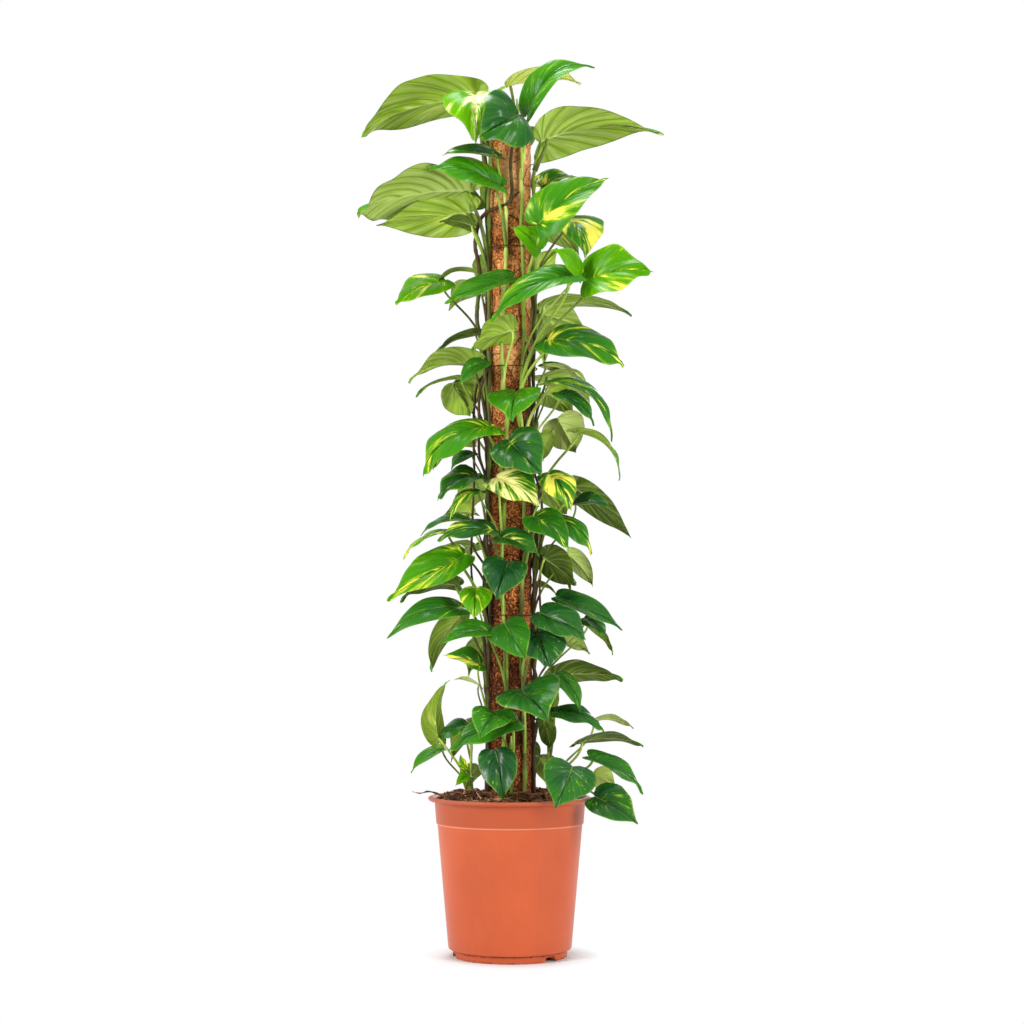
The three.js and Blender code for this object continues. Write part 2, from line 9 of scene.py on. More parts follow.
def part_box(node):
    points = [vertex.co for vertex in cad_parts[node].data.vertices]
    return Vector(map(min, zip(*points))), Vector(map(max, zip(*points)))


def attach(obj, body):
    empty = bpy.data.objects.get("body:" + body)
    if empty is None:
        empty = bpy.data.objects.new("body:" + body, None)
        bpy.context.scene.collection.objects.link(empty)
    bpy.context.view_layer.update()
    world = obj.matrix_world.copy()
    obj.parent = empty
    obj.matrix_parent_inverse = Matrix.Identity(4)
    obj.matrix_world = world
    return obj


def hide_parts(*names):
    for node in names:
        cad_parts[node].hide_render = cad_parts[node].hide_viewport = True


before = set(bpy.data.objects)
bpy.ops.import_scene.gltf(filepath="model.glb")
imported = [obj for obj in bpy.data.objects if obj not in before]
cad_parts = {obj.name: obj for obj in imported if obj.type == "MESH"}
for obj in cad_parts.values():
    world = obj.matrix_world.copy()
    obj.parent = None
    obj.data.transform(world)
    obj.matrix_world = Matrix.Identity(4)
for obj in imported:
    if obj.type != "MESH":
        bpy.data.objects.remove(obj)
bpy.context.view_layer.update()        # brings the imported parts up to date
mm = 0.001               # lengths below are in millimetres, as in the part's source
anyTurn = 6.3            # about a full turn, in radians
upwards = Vector((0, 0, 1))


# Shader helpers

def srgb(code):  # a written colour as the shader's own numbers
    channels = [int(code[i:i + 2], 16) / 255 for i in (0, 2, 4)]
    return tuple(c / 12.92 if c <= 0.04045 else ((c + 0.055) / 1.055) ** 2.4 for c in channels) + (1,)


class Value:  # wraps a socket, so that shader maths reads as an expression
    def __init__(self, board, socket):
        self.board = board
        self.socket = socket

    def maths(self, operation, first, second=0.0, clamp=False):
        return self.board.node("Math", {"operation": operation, "use_clamp": clamp}, {0: first, 1: second})

    def __add__(self, other):
        return self.maths("ADD", self, other)

    def __sub__(self, other):
        return self.maths("SUBTRACT", self, other)

    def __rsub__(self, other):
        return self.maths("SUBTRACT", other, self)

    def __mul__(self, other):
        return self.maths("MULTIPLY", self, other)

    __radd__ = __add__
    __rmul__ = __mul__

    def size(self):
        return self.maths("ABSOLUTE", self)

    def wrapped(self):
        return self.maths("FRACT", self)

    def most(self, other):
        return self.maths("MAXIMUM", self, other)

    def held(self):  # kept between 0 and 1
        return self.maths("ADD", self, 0.0, True)

    def over(self, start, steep):  # 0 up to start, then rising to 1
        return ((self - start) * steep).held()

    def near(self, place, steep):  # 1 at the place, falling to 0 on both sides
        return (1 - (self - place).size() * steep).held()


class Board:  # a node tree
    def __init__(self, tree):
        self.tree = tree

    def feed(self, socket, value):
        if isinstance(value, Value):
            self.tree.links.new(value.socket, socket)
        else:
            socket.default_value = value

    def node(self, kind, settings=None, sockets=None, out=0):
        made = self.tree.nodes.new("ShaderNode" + kind)
        for key, value in (settings or {}).items():
            if key == "stops":
                self.setStops(made.color_ramp, value)
            else:
                setattr(made, key, value)
        for key, value in (sockets or {}).items():
            self.feed(made.inputs[key], value)
        return Value(self, made.outputs[out])

    def setStops(self, ramp, stops):
        while len(ramp.elements) < len(stops):
            ramp.elements.new(1)
        for element, (place, colour) in zip(ramp.elements, stops):
            element.position = place
            element.color = colour

    def mix(self, first, second, share):
        return self.node("Mix", {"data_type": "RGBA"}, {0: share, 6: first, 7: second}, 2)

    def mark(self, name):  # three numbers kept on the mesh's points
        kept = self.node("Attribute", {"attribute_name": name}, {}, "Vector")
        return [self.node("SeparateXYZ", {}, {0: kept}, axis) for axis in range(3)]

    def place(self, stretch=(1, 1, 1)):  # the object's own coordinates
        there = self.node("TexCoord", {}, {}, "Object")
        return self.node("VectorMath", {"operation": "MULTIPLY"}, {0: there, 1: stretch})

    def height(self):  # metres above the floor
        return self.node("SeparateXYZ", {}, {0: self.place()}, 2)

    def join(self, x, y, z):
        return self.node("CombineXYZ", {}, {0: x, 1: y, 2: z})

    def cloud(self, where, scale, detail=3.0, rough=0.5):
        sockets = {"Vector": where, "Scale": scale, "Detail": detail, "Roughness": rough}
        return self.node("TexNoise", {}, sockets)

    def ramp(self, value, stops):
        return self.node("ValToRGB", {"stops": stops}, {0: value})


class Paint(Board):  # a material on the principled shader
    def __init__(self, name, **fixed):
        self.material = bpy.data.materials.new(name)
        self.material.use_nodes = True
        super().__init__(self.material.node_tree)
        self.skin = self.tree.nodes["Principled BSDF"]
        for socket, value in fixed.items():
            self.skin.inputs[socket.replace("_", " ")].default_value = value

    def set(self, socket, value):
        self.feed(self.skin.inputs[socket], value)

    def bump(self, height, depth):  # depth in millimetres
        sockets = {"Height": height, "Distance": depth * mm, "Strength": 1.0}
        self.set("Normal", self.node("Bump", {}, sockets))


# Mesh helpers

def strip(low, high, closed=True):  # faces between two rows of points; a row may be a single point
    count = max(len(low), len(high))
    for i in range(count if closed else count - 1):
        j = (i + 1) % count
        if len(low) == 1:
            yield low[0], high[j], high[i]
        elif len(high) == 1:
            yield low[i], low[j], high[0]
        else:
            yield low[i], low[j], high[j], high[i]


class Heap:  # points and faces of one piece, in millimetres, with marks for the shaders
    def __init__(self, *markNames):
        self.points = []
        self.faces = []
        self.paints = []
        self.marks = {name: [] for name in markNames}

    def point(self, place, *marks):
        self.points.append(place * mm)
        for kept, mark in zip(self.marks.values(), marks):
            kept.extend(mark)
        return len(self.points) - 1

    def face(self, corners, paint=0):
        self.faces.append(tuple(corners))
        self.paints.append(paint)

    def ring(self, centre, first, second, radius, sides, *marks):
        turns = [2 * math.pi * i / sides for i in range(sides)]
        spots = [centre + (first * math.cos(t) + second * math.sin(t)) * radius for t in turns]
        return [self.point(spot, *marks) for spot in spots]

    def level(self, radius, height, sides, *marks):  # a ring round the pole's axis
        spots = [aroundPole(radius, 360 * k / sides, height) for k in range(sides)]
        return [self.point(spot, *marks) for spot in spots]

    def loft(self, rings, looped=False):  # a skin over the rings
        for low, high in zip(rings, rings[1:] + (rings[:1] if looped else [])):
            for corners in strip(low, high):
                self.face(corners)

    def capped(self, rings):  # a closed bar
        self.loft(rings)
        self.face(reversed(rings[0]))
        self.face(rings[-1])

    def tube(self, path, radii, sides, markAt):  # a closed round bar along a path
        first = (path[1] - path[0]).normalized().orthogonal().normalized()
        rings = []
        for i, centre in enumerate(path):
            ahead = path[min(i + 1, len(path) - 1)] - path[max(i - 1, 0)]
            along = ahead.normalized()
            first = (first - along * first.dot(along)).normalized()
            mark = markAt(i / (len(path) - 1))
            rings.append(self.ring(centre, first, along.cross(first), radii[i], sides, mark))
        self.capped(rings)

    def lump(self, place, turn, size, rng, mark):  # a small uneven crumb
        spots = []
        for corner in crumb["corners"]:
            uneven = 1 + rng.uniform(-crumb["uneven"], crumb["uneven"])
            shaped = Vector([c * s * uneven for c, s in zip(corner, size)])
            spots.append(self.point(place + turn @ shaped, mark))
        for corners in crumb["faces"]:
            self.face(spots[c] for c in corners)

    def build(self, name, paints, smooth=True):
        mesh = bpy.data.meshes.new(name)
        mesh.from_pydata(self.points, [], self.faces)
        for markName, values in self.marks.items():
            mesh.attributes.new(markName, "FLOAT_VECTOR", "POINT").data.foreach_set("vector", values)
        for paint in paints:
            mesh.materials.append(paint.material)
        mesh.polygons.foreach_set("material_index", self.paints)
        mesh.polygons.foreach_set("use_smooth", [smooth] * len(self.faces))
        mesh.update()
        made = bpy.data.objects.new(name, mesh)
        bpy.context.scene.collection.objects.link(made)
        return made

    def piece(self, name, paints, body, node):
        made = self.build(name, paints)
        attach(made, body)
        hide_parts(node)
        return made


crumb = {
    "corners": [(1, 0, 0), (-1, 0, 0), (0, 1, 0), (0, -1, 0), (0, 0, 1), (0, 0, -1)],
    "faces": [(0, 2, 4), (2, 1, 4), (1, 3, 4), (3, 0, 4), (2, 0, 5), (1, 2, 5), (3, 1, 5), (0, 3, 5)],
    "uneven": 0.35,
}


def shares(count):  # 0 to 1 in equal steps
    return [k / count for k in range(count + 1)]


def splineAt(points, s):  # smooth curve through the points; s counts points
    i = min(int(s), len(points) - 2)
    f = s - i
    before, here, there, after = [points[min(max(i + k, 0), len(points) - 1)] for k in (-1, 0, 1, 2)]
    result = []
    for a, b, c, d in zip(before, here, there, after):
        cubic = 1.5 * (b - c) + (d - a) / 2
        square = a - 2.5 * b + 2 * c - d / 2 + f * cubic
        result.append(b + f * ((c - a) / 2 + f * square))
    return result


def bezierAt(a, b, c, d, s):
    r = 1 - s
    return a * r ** 3 + b * (3 * r * r * s) + c * (3 * r * s * s) + d * s ** 3


def rounded(corners, steps=4):  # corners are radius, height and rounding; a loop where all are rounded
    line = []
    for i, (x, y, rounding) in enumerate(corners):
        here = Vector((x, y))
        if not rounding:
            line.append(here)
            continue
        before, after = [Vector(corners[(i + k) % len(corners)][:2]) - here for k in (-1, 1)]
        cut = min(rounding, before.length / 2.2, after.length / 2.2)
        start = here + before.normalized() * cut
        end = here + after.normalized() * cut
        for s in shares(steps):
            line.append(start * (1 - s) ** 2 + here * (2 * s * (1 - s)) + end * s * s)
    return line


def aroundPole(radius, bearing, height):  # bearing in degrees, 0 towards the viewer, positive to the right
    turn = math.radians(bearing)
    return Vector((radius * math.sin(turn), -radius * math.cos(turn), height))


def bearingOf(spot):
    return math.degrees(math.atan2(spot.x, -spot.y))


def outward(spot):  # the level way out from the pole
    return Vector((spot.x, spot.y, 0)).normalized()


# Sizes from the frame
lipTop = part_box("nursery_pot")[1].z / mm
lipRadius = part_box("nursery_pot")[1].x / mm
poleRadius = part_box("coir_sleeve")[1].x / mm
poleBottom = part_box("coir_sleeve")[0].z / mm
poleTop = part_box("coir_sleeve")[1].z / mm
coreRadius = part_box("core_tube")[1].x / mm
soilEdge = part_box("root_ball")[1].x / mm
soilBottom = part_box("root_ball")[0].z / mm
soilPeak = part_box("root_ball")[1].z / mm
seatGap = 0.3
tieNodes = ["vine_tie_" + str(n) for n in range(1, 6)]
tieHeights = [sum(corner.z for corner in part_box(node)) / 2 / mm for node in tieNodes]


# Camera, light and floor

view = {
    "across": 0.003, "back": 2.9,              # the eye, metres
    "eyeAboveLip": 0.223, "aimAboveLip": 0.417,
    "lens": 69.05, "sensor": 36,
    "ambient": 0.155,       # light from all round
    "floorRadius": 4.0, "floorSides": 96,
    "floorNear": 0.086,     # the floor shows its own shading up to here, metres from the pole
    "floorFade": 0.045,     # and fades to plain white over this
}
lamps = {
    "keyStrip": {"at": (-1.9, -1.7, 1.35), "watts": 60, "wide": 0.5, "tall": 1.8},
    "sideStrip": {"at": (1.75, -1.55, 1.1), "watts": 36, "wide": 0.35, "tall": 1.7},
    "topSoftbox": {"at": (-0.25, 0.05, 3.0), "watts": 53, "wide": 0.9, "tall": 0.9},
    "backSoftbox": {"at": (0.7, 2.3, 1.3), "watts": 20, "wide": 1.2, "tall": 1.2},
    "leftEdge": {"at": (-1.9, -0.15, 0.45), "watts": 8, "wide": 0.35, "tall": 1.3},
    "rightEdge": {"at": (1.8, -0.95, 0.3), "watts": 13, "wide": 0.25, "tall": 1.3},
}


def aimed(made, target):
    made.rotation_euler = (Vector(target) - made.location).to_track_quat("-Z", "Y").to_euler()
    bpy.context.scene.collection.objects.link(made)
    return made


def makeCamera():
    camera = bpy.data.objects.new("camera", bpy.data.cameras.new("camera"))
    camera.data.sensor_width = view["sensor"]
    camera.data.lens = view["lens"]
    camera.location = (view["across"], -view["back"], lipTop * mm + view["eyeAboveLip"])
    bpy.context.scene.camera = aimed(camera, (view["across"], 0, lipTop * mm + view["aimAboveLip"]))


def seenDirectly(board):  # rays from the camera, and those that mirror or pass on its view
    kinds = ("Is Camera Ray", "Is Glossy Ray", "Is Transmission Ray")
    camera, glossy, through = [board.node("LightPath", {}, {}, kind) for kind in kinds]
    return camera.most(glossy).most(through)


def makeLight():
    world = bpy.data.worlds.new("studio")
    bpy.context.scene.world = world
    world.use_nodes = True
    board = Board(world.node_tree)
    sky = world.node_tree.nodes["Background"]
    sky.inputs["Color"].default_value = (1, 1, 1, 1)
    board.feed(sky.inputs["Strength"], seenDirectly(board) * (1 - view["ambient"]) + view["ambient"])
    for name, lamp in lamps.items():
        light = bpy.data.lights.new(name, "AREA")
        light.shape = "RECTANGLE"
        light.energy = lamp["watts"]
        light.size = lamp["wide"]
        light.size_y = lamp["tall"]
        made = bpy.data.objects.new(name, light)
        made.location = lamp["at"]
        aimed(made, (0, 0, (lipTop + poleTop) / 2 * mm))


def makeFloor():
    paint = Paint("paleFloor", Base_Color=(0.9, 0.9, 0.9, 1), Roughness=0.9)
    distance = paint.node("VectorMath", {"operation": "LENGTH"}, {0: paint.place()}, 1)
    far = distance.over(view["floorNear"], 1 / view["floorFade"])
    white = paint.node("Emission", {}, {"Color": (1, 1, 1, 1), "Strength": 1.0})
    lit = Value(paint, paint.skin.outputs[0])
    shown = paint.node("MixShader", {}, {0: seenDirectly(paint) * far, 1: lit, 2: white})
    paint.feed(paint.tree.nodes["Material Output"].inputs["Surface"], shown)
    heap = Heap()
    heap.face(heap.level(view["floorRadius"] / mm, 0, view["floorSides"]))
    heap.build("floor", [paint], False)
    print("studio done")


# Nursery pot

pot = {
    "sides": 288,
    "footRadius": 83, "footWidth": 12, "footHeight": 10, "floorRaise": 4, "floorTop": 6.5,
    "wallFoot": 90, "wallTop": 106.1, "collarFoot": 107.9, "collarTop": 110.5, "collarHeight": 33,
    "stepSlope": 2, "wall": 2, "lipHeight": 6,
    "outOfRound": 0.25, "ovalTurn": 40,        # the pot is a little oval
    "notches": 3, "notchBearing": 44, "notchWidth": 26, "notchTop": 15, "notchHeight": 7,
    "colour": srgb("c65c34"), "shade": srgb("ad4c2a"), "scuffAndHighlight": srgb("e6a88e"), "dirtAndShade": srgb("3b2116"),
    "underLipShade": srgb("8d3f24"), "lipShadow": 11,
}
lipBottom = lipTop - pot["lipHeight"]
collarBottom = lipBottom - pot["collarHeight"]


def potPaint():
    paint = Paint("terracottaPlastic", Specular_IOR_Level=0.24)
    where = paint.place()
    height = paint.height()
    broad = paint.cloud(where, 9, 4)
    drawn = paint.cloud(paint.place((1, 1, 0.05)), 260, 2)       # faint flow lines up the wall
    colour = paint.mix(pot["shade"], pot["colour"], (broad * 1.5 + drawn * 0.25 - 0.3).held())
    scuffed = paint.cloud(paint.place((1, 1, 7)), 130, 5, 0.65).over(0.68, 9)
    paleEdgeHighlight = height.near((collarBottom - 0.3) * mm, 700)         # painted highlight: a pale line along the collar's step
    # and a paler line near the top of the lip, at half strength
    paleEdgeHighlight = paleEdgeHighlight.most(height.near((lipTop - 1.2) * mm, 500) * 0.5)
    # the real marks of wear and the painted highlight share one pale colour
    colour = paint.mix(colour, pot["scuffAndHighlight"], (scuffed * 0.35 + paleEdgeHighlight * (0.25 + broad * 0.6)).held())
    below = lipBottom * mm - height                              # painted shade under the lip's overhang
    shaded = (1 - below * (1 / pot["lipShadow"] / mm)).held() * (below * 4000).held()
    # painted shade over the collar, in patches
    collar = height.over((collarBottom + 1) * mm, 900) * 0.65
    lipAndCollarShade = (shaded * (0.3 + broad * 0.6)).most(collar * broad * 1.2)
    colour = paint.mix(colour, pot["underLipShade"], lipAndCollarShade)
    grime = paint.cloud(where, 210, 4, 0.7)
    low = height.near(pot["footHeight"] * mm, 330) + (1 - height * 260).held()  # soil caught over the foot
    # painted shade: a dark line at the foot's step, in patches
    stepShade = height.near((pot["footHeight"] + 0.5) * mm, 800)
    dirtAndStepShade = (grime.over(0.46, 7) * low + stepShade * (broad * 1.4 - 0.1)).held()
    # real grime specks and the painted shade share one dark colour
    paint.set("Base Color", paint.mix(colour, pot["dirtAndShade"], dirtAndStepShade * 0.9))
    paint.set("Roughness", 0.3 + broad * 0.1 + scuffed * 0.15 + paleEdgeHighlight * 0.3 + dirtAndStepShade * 0.3)
    paint.bump(paint.cloud(where, 1400, 2) * 0.35 + drawn * 0.3 + grime * dirtAndStepShade, 0.06)
    return paint


def potRing(heap, radius, height):  # a single point on the axis
    if not radius:
        return [heap.point(Vector((0, 0, height)))]
    ring = []
    for k in range(pot["sides"]):
        turn = 360 * k / pot["sides"]
        wobble = pot["outOfRound"] * math.sin(math.radians(2 * turn + pot["ovalTurn"]))
        wobble *= min(1, radius / lipRadius)
        ring.append(heap.point(aroundPole(radius + wobble, turn, height)))
    return ring


def makePot():
    p = SimpleNamespace(**pot)
    mouth = p.collarTop - p.wall
    outside = [
        (0, p.floorRaise, 0), (p.footRadius - p.footWidth, p.floorRaise, 1),
        (p.footRadius - p.footWidth, 0, 1), (p.footRadius, 0, 1.2), (p.footRadius + 1, p.footHeight, 0.8),
        (p.wallFoot, p.footHeight + p.stepSlope, 1.6), (p.wallTop, collarBottom - p.stepSlope, 1),
        (p.collarFoot, collarBottom, 1.4), (p.collarTop, lipBottom - 2, 3),
        (lipRadius - 1.5, lipBottom, 1.4), (lipRadius, lipBottom + 2.2, 1.6), (lipRadius, lipTop - 2, 1.6),
        (lipRadius - 3, lipTop, 2),
    ]
    inside = [
        (mouth + 3, lipTop - 0.6, 2), (mouth, lipTop - 4, 2), (p.collarFoot - p.wall, collarBottom, 1),
        (p.wallTop - p.wall, collarBottom - p.stepSlope, 1),
        (p.wallFoot - p.wall, p.footHeight + p.stepSlope, 1), (p.footRadius - 1, p.footHeight, 1),
        (p.footRadius - p.wall, p.floorTop, 1), (0, p.floorTop, 0),
    ]
    heap = Heap()
    heap.loft([potRing(heap, *corner) for corner in rounded(outside + inside)])
    cutNotches(heap.piece("pot", [potPaint()], "pot", "nursery_pot"))
    print("pot done")


def cutNotches(made):  # drain notches through the foot
    heap = Heap()
    low = (pot["notchWidth"] / 2, -2)
    high = (pot["notchTop"] / 2, pot["notchHeight"])
    for i in range(pot["notches"]):
        bearing = pot["notchBearing"] + 360 * i / pot["notches"]
        out = aroundPole(1, bearing, 0)
        across = aroundPole(1, bearing + 90, 0)
        ends = []
        for radius in (pot["footRadius"] - pot["footWidth"] - 2, pot["footRadius"] + 6):
            shape = []
            for side, (half, rise) in ((-1, low), (1, low), (1, high), (-1, high)):
                shape.append(heap.point(out * radius + across * (side * half) + upwards * rise))
            ends.append(shape)
        heap.capped(ends)
    cutter = heap.build("notches", [], False)
    cut = made.modifiers.new("notches", "BOOLEAN")
    cut.operation = "DIFFERENCE"
    cut.solver = "EXACT"
    cut.object = cutter
    graph = bpy.context.evaluated_depsgraph_get()
    shaped = bpy.data.meshes.new_from_object(made.evaluated_get(graph))
    made.modifiers.clear()
    made.data = shaped
    bpy.data.objects.remove(cutter)


# Root ball

soil = {
    "mound": 11,
    "sides": 160, "topRows": 34, "sideRows": 46,
    "rough": 5, "dents": 2.2,                  # how far the surface heaves, and the sides dip
    "heaps": [               # across, back, width and height
        (-62, -46, 28, 12), (-20, -66, 22, 8), (60, -44, 24, 6), (-84, 4, 22, 8), (40, 62, 30, 5),
    ],
    "sideInset": 1.4,                          # keeps the sides clear of the pot's wall
    "crumbs": 1500, "crumbSize": (0.8, 2.6), "chips": 380, "chipSize": (3, 9),
    "fibres": 760, "fibreThick": (0.25, 0.85), "twigs": 90, "twigThick": (1.1, 2.3),
    "fibreLength": (8, 36), "fibreBend": 1.2, "fibreArch": (1, 9), "fibreSteps": 6,
    "roots": 420, "rootInset": 0.6, "rootThick": (0.25, 0.95), "rootSweep": (6, 60), "rootDrop": (-60, 30),
    "rootFrom": (14, 205), "rootLimits": (12, 215), "rootSteps": 12,  # heights, where they start and run
    "sideCrumbs": 1500, "sideCrumbSize": (0.8, 2.3), "crumbInset": 2.0, "crumbFrom": (14, 212),
    "sheath": [(-92, -26, 0), (-104, -30, 5), (-118, -34, 9), (-130, -36, 6.5), (-141, -37, 9)],
    "sheathThick": 1.9, "sheathSteps": 20,
    "seed": 11,
    "dark": srgb("180c06"), "brown": srgb("5f351d"), "rust": srgb("ac673c"), "straw": srgb("dfb486"),
    "root": srgb("b99a76"),
}


def soilPaint():
    paint = Paint("pottingSoil", Specular_IOR_Level=0.25)
    tone, woody = paint.mark("crumbLook")[:2]
    where = paint.place()
    grain = paint.cloud(where, 420, 5, 0.65)
    patch = paint.cloud(where, 60, 3)
    shade = (tone * 1.05 + grain * 1.3 + patch * 0.4 - 1.0).held()
    stops = [(0, soil["dark"]), (0.42, soil["brown"]), (0.75, soil["rust"]), (1, soil["straw"])]
    wood = paint.mix(soil["root"], soil["brown"], grain)
    paint.set("Base Color", paint.mix(paint.ramp(shade, stops), wood, woody))
    paint.set("Roughness", 0.78 + grain * 0.2)
    paint.bump(grain + patch * 0.4 + paint.cloud(where, 1600, 2) * 0.3, 0.9)
    return paint


def soilAt(radius):  # height of the soil's plain surface
    share = (radius - poleRadius) / (soilEdge - poleRadius)
    return soilPeak - soil["mound"] * share


def soilHeight(x, y):  # with its heave and heaps
    heave = noise.fractal(Vector((x, y, 3)) * 0.045, 1, 2, 4) * soil["rough"]
    heaped = 0
    for middleX, middleY, wide, up in soil["heaps"]:
        heaped += up * math.exp(-math.hypot(x - middleX, y - middleY) ** 2 / wide ** 2)
    return soilAt(math.hypot(x, y)) + heave + heaped - 1


def sideRadius(height):  # how far out the sides of the ball reach, below the collar
    share = (height - pot["footHeight"]) / (collarBottom - pot["footHeight"])
    wall = pot["wallFoot"] + (pot["wallTop"] - pot["wallFoot"]) * share
    if height < pot["footHeight"] + 3:
        wall = pot["footRadius"]
    return wall - pot["wall"] - soil["sideInset"]


def soilSkin(heap):  # the surface from the pole out to the wall, then down the sides and under
    inner = poleRadius - 1
    edge = soilEdge - soil["sideInset"]
    upper = soilPeak - soil["mound"] - 4
    profile = [(inner + (edge - inner) * s, None) for s in shares(soil["topRows"])]
    for s in shares(soil["sideRows"]):
        height = upper + (soilBottom + 1 - upper) * s
        radius = sideRadius(min(height, collarBottom))
        if height > collarBottom:
            radius += (edge - radius) * (height - collarBottom) / (upper - collarBottom)
        profile.append((radius, height))
    profile.append((inner, soilBottom + 1))
    rings = []
    for radius, height in profile:
        ring = []
        for k in range(soil["sides"]):
            spot = aroundPole(radius, 360 * k / soil["sides"], height or 0)
            if height is None:
                tone = 0.22 + 0.4 * noise.noise(spot * 0.09)
                spot.z = soilHeight(spot.x, spot.y)
            else:
                tone = 0.2 + 0.16 * noise.noise(spot * 0.3)
                spot -= outward(spot) * abs(noise.noise(spot * 0.11)) * soil["dents"]
            ring.append(heap.point(spot, (tone, 0, 0)))
        rings.append(ring)
    heap.loft(rings[::-1], True)


def onSoil(rng, inset):  # a place anywhere on the surface
    radius = math.sqrt(rng.uniform(poleRadius ** 2, (soilEdge - inset) ** 2))
    return aroundPole(radius, rng.uniform(0, 360), 0)


def soilCrumbs(heap, rng):
    for i in range(soil["crumbs"] + soil["chips"]):
        spot = onSoil(rng, 3)
        spot.z = soilHeight(spot.x, spot.y) + rng.uniform(-0.4, 1.2)
        swung = Matrix.Rotation(rng.uniform(0, anyTurn), 3, "Z")
        tipped = Matrix.Rotation(rng.uniform(-0.5, 0.5), 3, "X")
        if i < soil["crumbs"]:
            big = rng.uniform(*soil["crumbSize"])
            size = (big, big * rng.uniform(0.6, 1), big * rng.uniform(0.5, 0.9))
        else:
            big = rng.uniform(*soil["chipSize"])
            size = (big, big * rng.uniform(0.25, 0.55), big * 0.22)
        heap.lump(spot, swung @ tipped, size, rng, (rng.uniform(0.05, 1), 0, rng.random()))


def soilFibres(heap, rng):
    steps = shares(soil["fibreSteps"])
    for i in range(soil["fibres"] + soil["twigs"]):
        spot = onSoil(rng, 6)
        heading = rng.uniform(0, anyTurn)
        long = rng.uniform(*soil["fibreLength"])
        bend = rng.uniform(-soil["fibreBend"], soil["fibreBend"])
        arch = rng.uniform(*soil["fibreArch"])
        path = []
        for s in steps:
            x = spot.x + math.cos(heading + bend * s) * long * s
            y = spot.y + math.sin(heading + bend * s) * long * s
            keep = min(1, (soilEdge - 3) / math.hypot(x, y))
            height = soilHeight(x * keep, y * keep) + 0.8 + arch * s * (1 - s)
            path.append(Vector((x * keep, y * keep, height)))
        thick = rng.uniform(*soil["fibreThick" if i < soil["fibres"] else "twigThick"])
        tone = rng.uniform(0.2, 1)
        heap.tube(path, [thick * (1 - 0.5 * s) for s in steps], 5, lambda s: (tone, 0.25, s))


def soilRoots(heap, rng):  # roots that run round the sides of the ball, and crumbs among them
    steps = shares(soil["rootSteps"])
    lowest, highest = soil["rootLimits"]
    for i in range(soil["roots"]):
        bearing = rng.uniform(0, 360)
        height = rng.uniform(*soil["rootFrom"])
        sweep = rng.choice((-1, 1)) * rng.uniform(*soil["rootSweep"])
        drop = rng.uniform(*soil["rootDrop"])
        path = []
        for s in steps:
            z = min(max(height + drop * s + 5 * math.sin(5 * s + bearing), lowest), highest)
            turn = bearing + sweep * s + 2 * math.sin(9 * s + height)
            path.append(aroundPole(sideRadius(z) - soil["rootInset"] + 0.3 * math.sin(11 * s), turn, z))
        thick = rng.uniform(*soil["rootThick"])
        look = (rng.uniform(0.5, 1), rng.uniform(0.35, 0.95), 0)
        heap.tube(path, [thick * (1 - 0.4 * s) for s in steps], 6, lambda s: look)
    for i in range(soil["sideCrumbs"]):
        height = rng.uniform(*soil["crumbFrom"])
        spot = aroundPole(sideRadius(height) - soil["crumbInset"], rng.uniform(0, 360), height)
        turn = Matrix.Rotation(rng.uniform(0, anyTurn), 3, "Z")
        size = [rng.uniform(*soil["sideCrumbSize"]) for axis in range(3)]
        heap.lump(spot, turn, size, rng, (rng.uniform(0.05, 0.9), 0, 0))


def drySheath(heap):  # a dried leaf sheath lying out over the lip on the left
    corners = [Vector((x, y, lipTop + z)) for x, y, z in soil["sheath"]]
    steps = soil["sheathSteps"]
    path = [Vector(splineAt(corners, (len(corners) - 1) * s)) for s in shares(steps)]
    radii = [soil["sheathThick"] * (1 - 0.7 * s) + 0.35 * math.sin(1.3 * s * steps) for s in shares(steps)]
    heap.tube(path, radii, 7, lambda s: (0.55 + 0.3 * math.sin(9 * s), 0.2, s))


def makeSoil():
    rng = random.Random(soil["seed"])
    heap = Heap("crumbLook")
    soilSkin(heap)
    soilCrumbs(heap, rng)
    soilFibres(heap, rng)
    soilRoots(heap, rng)
    drySheath(heap)
    heap.piece("rootBall", [soilPaint()], "plant", "root_ball")
    print("root ball done")


# Moss pole

pole = {
    "sides": 132, "rows": 260,
    "rough": 0.8, "inset": 0.5,                # lumps in the coir mat, and room for them
    "strands": 4000, "strandLength": (10, 44), "strandRadius": (0.19, 0.52), "strandSteps": 5,
    "slope": 0.7, "bend": 0.9,
    "lift": 2.4,                               # how far a loose strand's end stands out
    "seed": 5,
    "wall": 2, "coreSides": 64, "coreEdge": 0.4,
    "dark": srgb("452210"), "brown": srgb("9c5224"), "tan": srgb("f0a055"), "straw": srgb("ffcd92"),
    "core": srgb("8d8f8a"), "coreShade": srgb("6f716d"),
}


def coirPaint():
    paint = Paint("coirFibre", Specular_IOR_Level=0.2)
    tone = paint.mark("fibreLook")[0]
    where = paint.place()
    hair = paint.cloud(paint.place((1, 1, 2.6)), 700, 4, 0.6)
    clump = paint.cloud(where, 85, 4, 0.6)
    pits = paint.cloud(where, 330, 3, 0.6)
    upper = paint.height().over(0.6, 1.6)             # painted light: the top of the pole is lighter
    shadePatches = paint.cloud(where, 15, 2)                  # painted shade: dark patches here and there
    shade = tone * 0.4 + hair * 1.4 + pits * 2.3 + clump * 0.5 + upper * 0.62 - shadePatches * 1.5 - 1.41
    stops = [(0, pole["dark"]), (0.3, pole["brown"]), (0.62, pole["tan"]), (1, pole["straw"])]
    paint.set("Base Color", paint.ramp(shade.held(), stops))
    paint.set("Roughness", 0.75 + hair * 0.2)
    paint.bump(hair + pits * 0.8 + clump * 0.4, 1.0)
    return paint


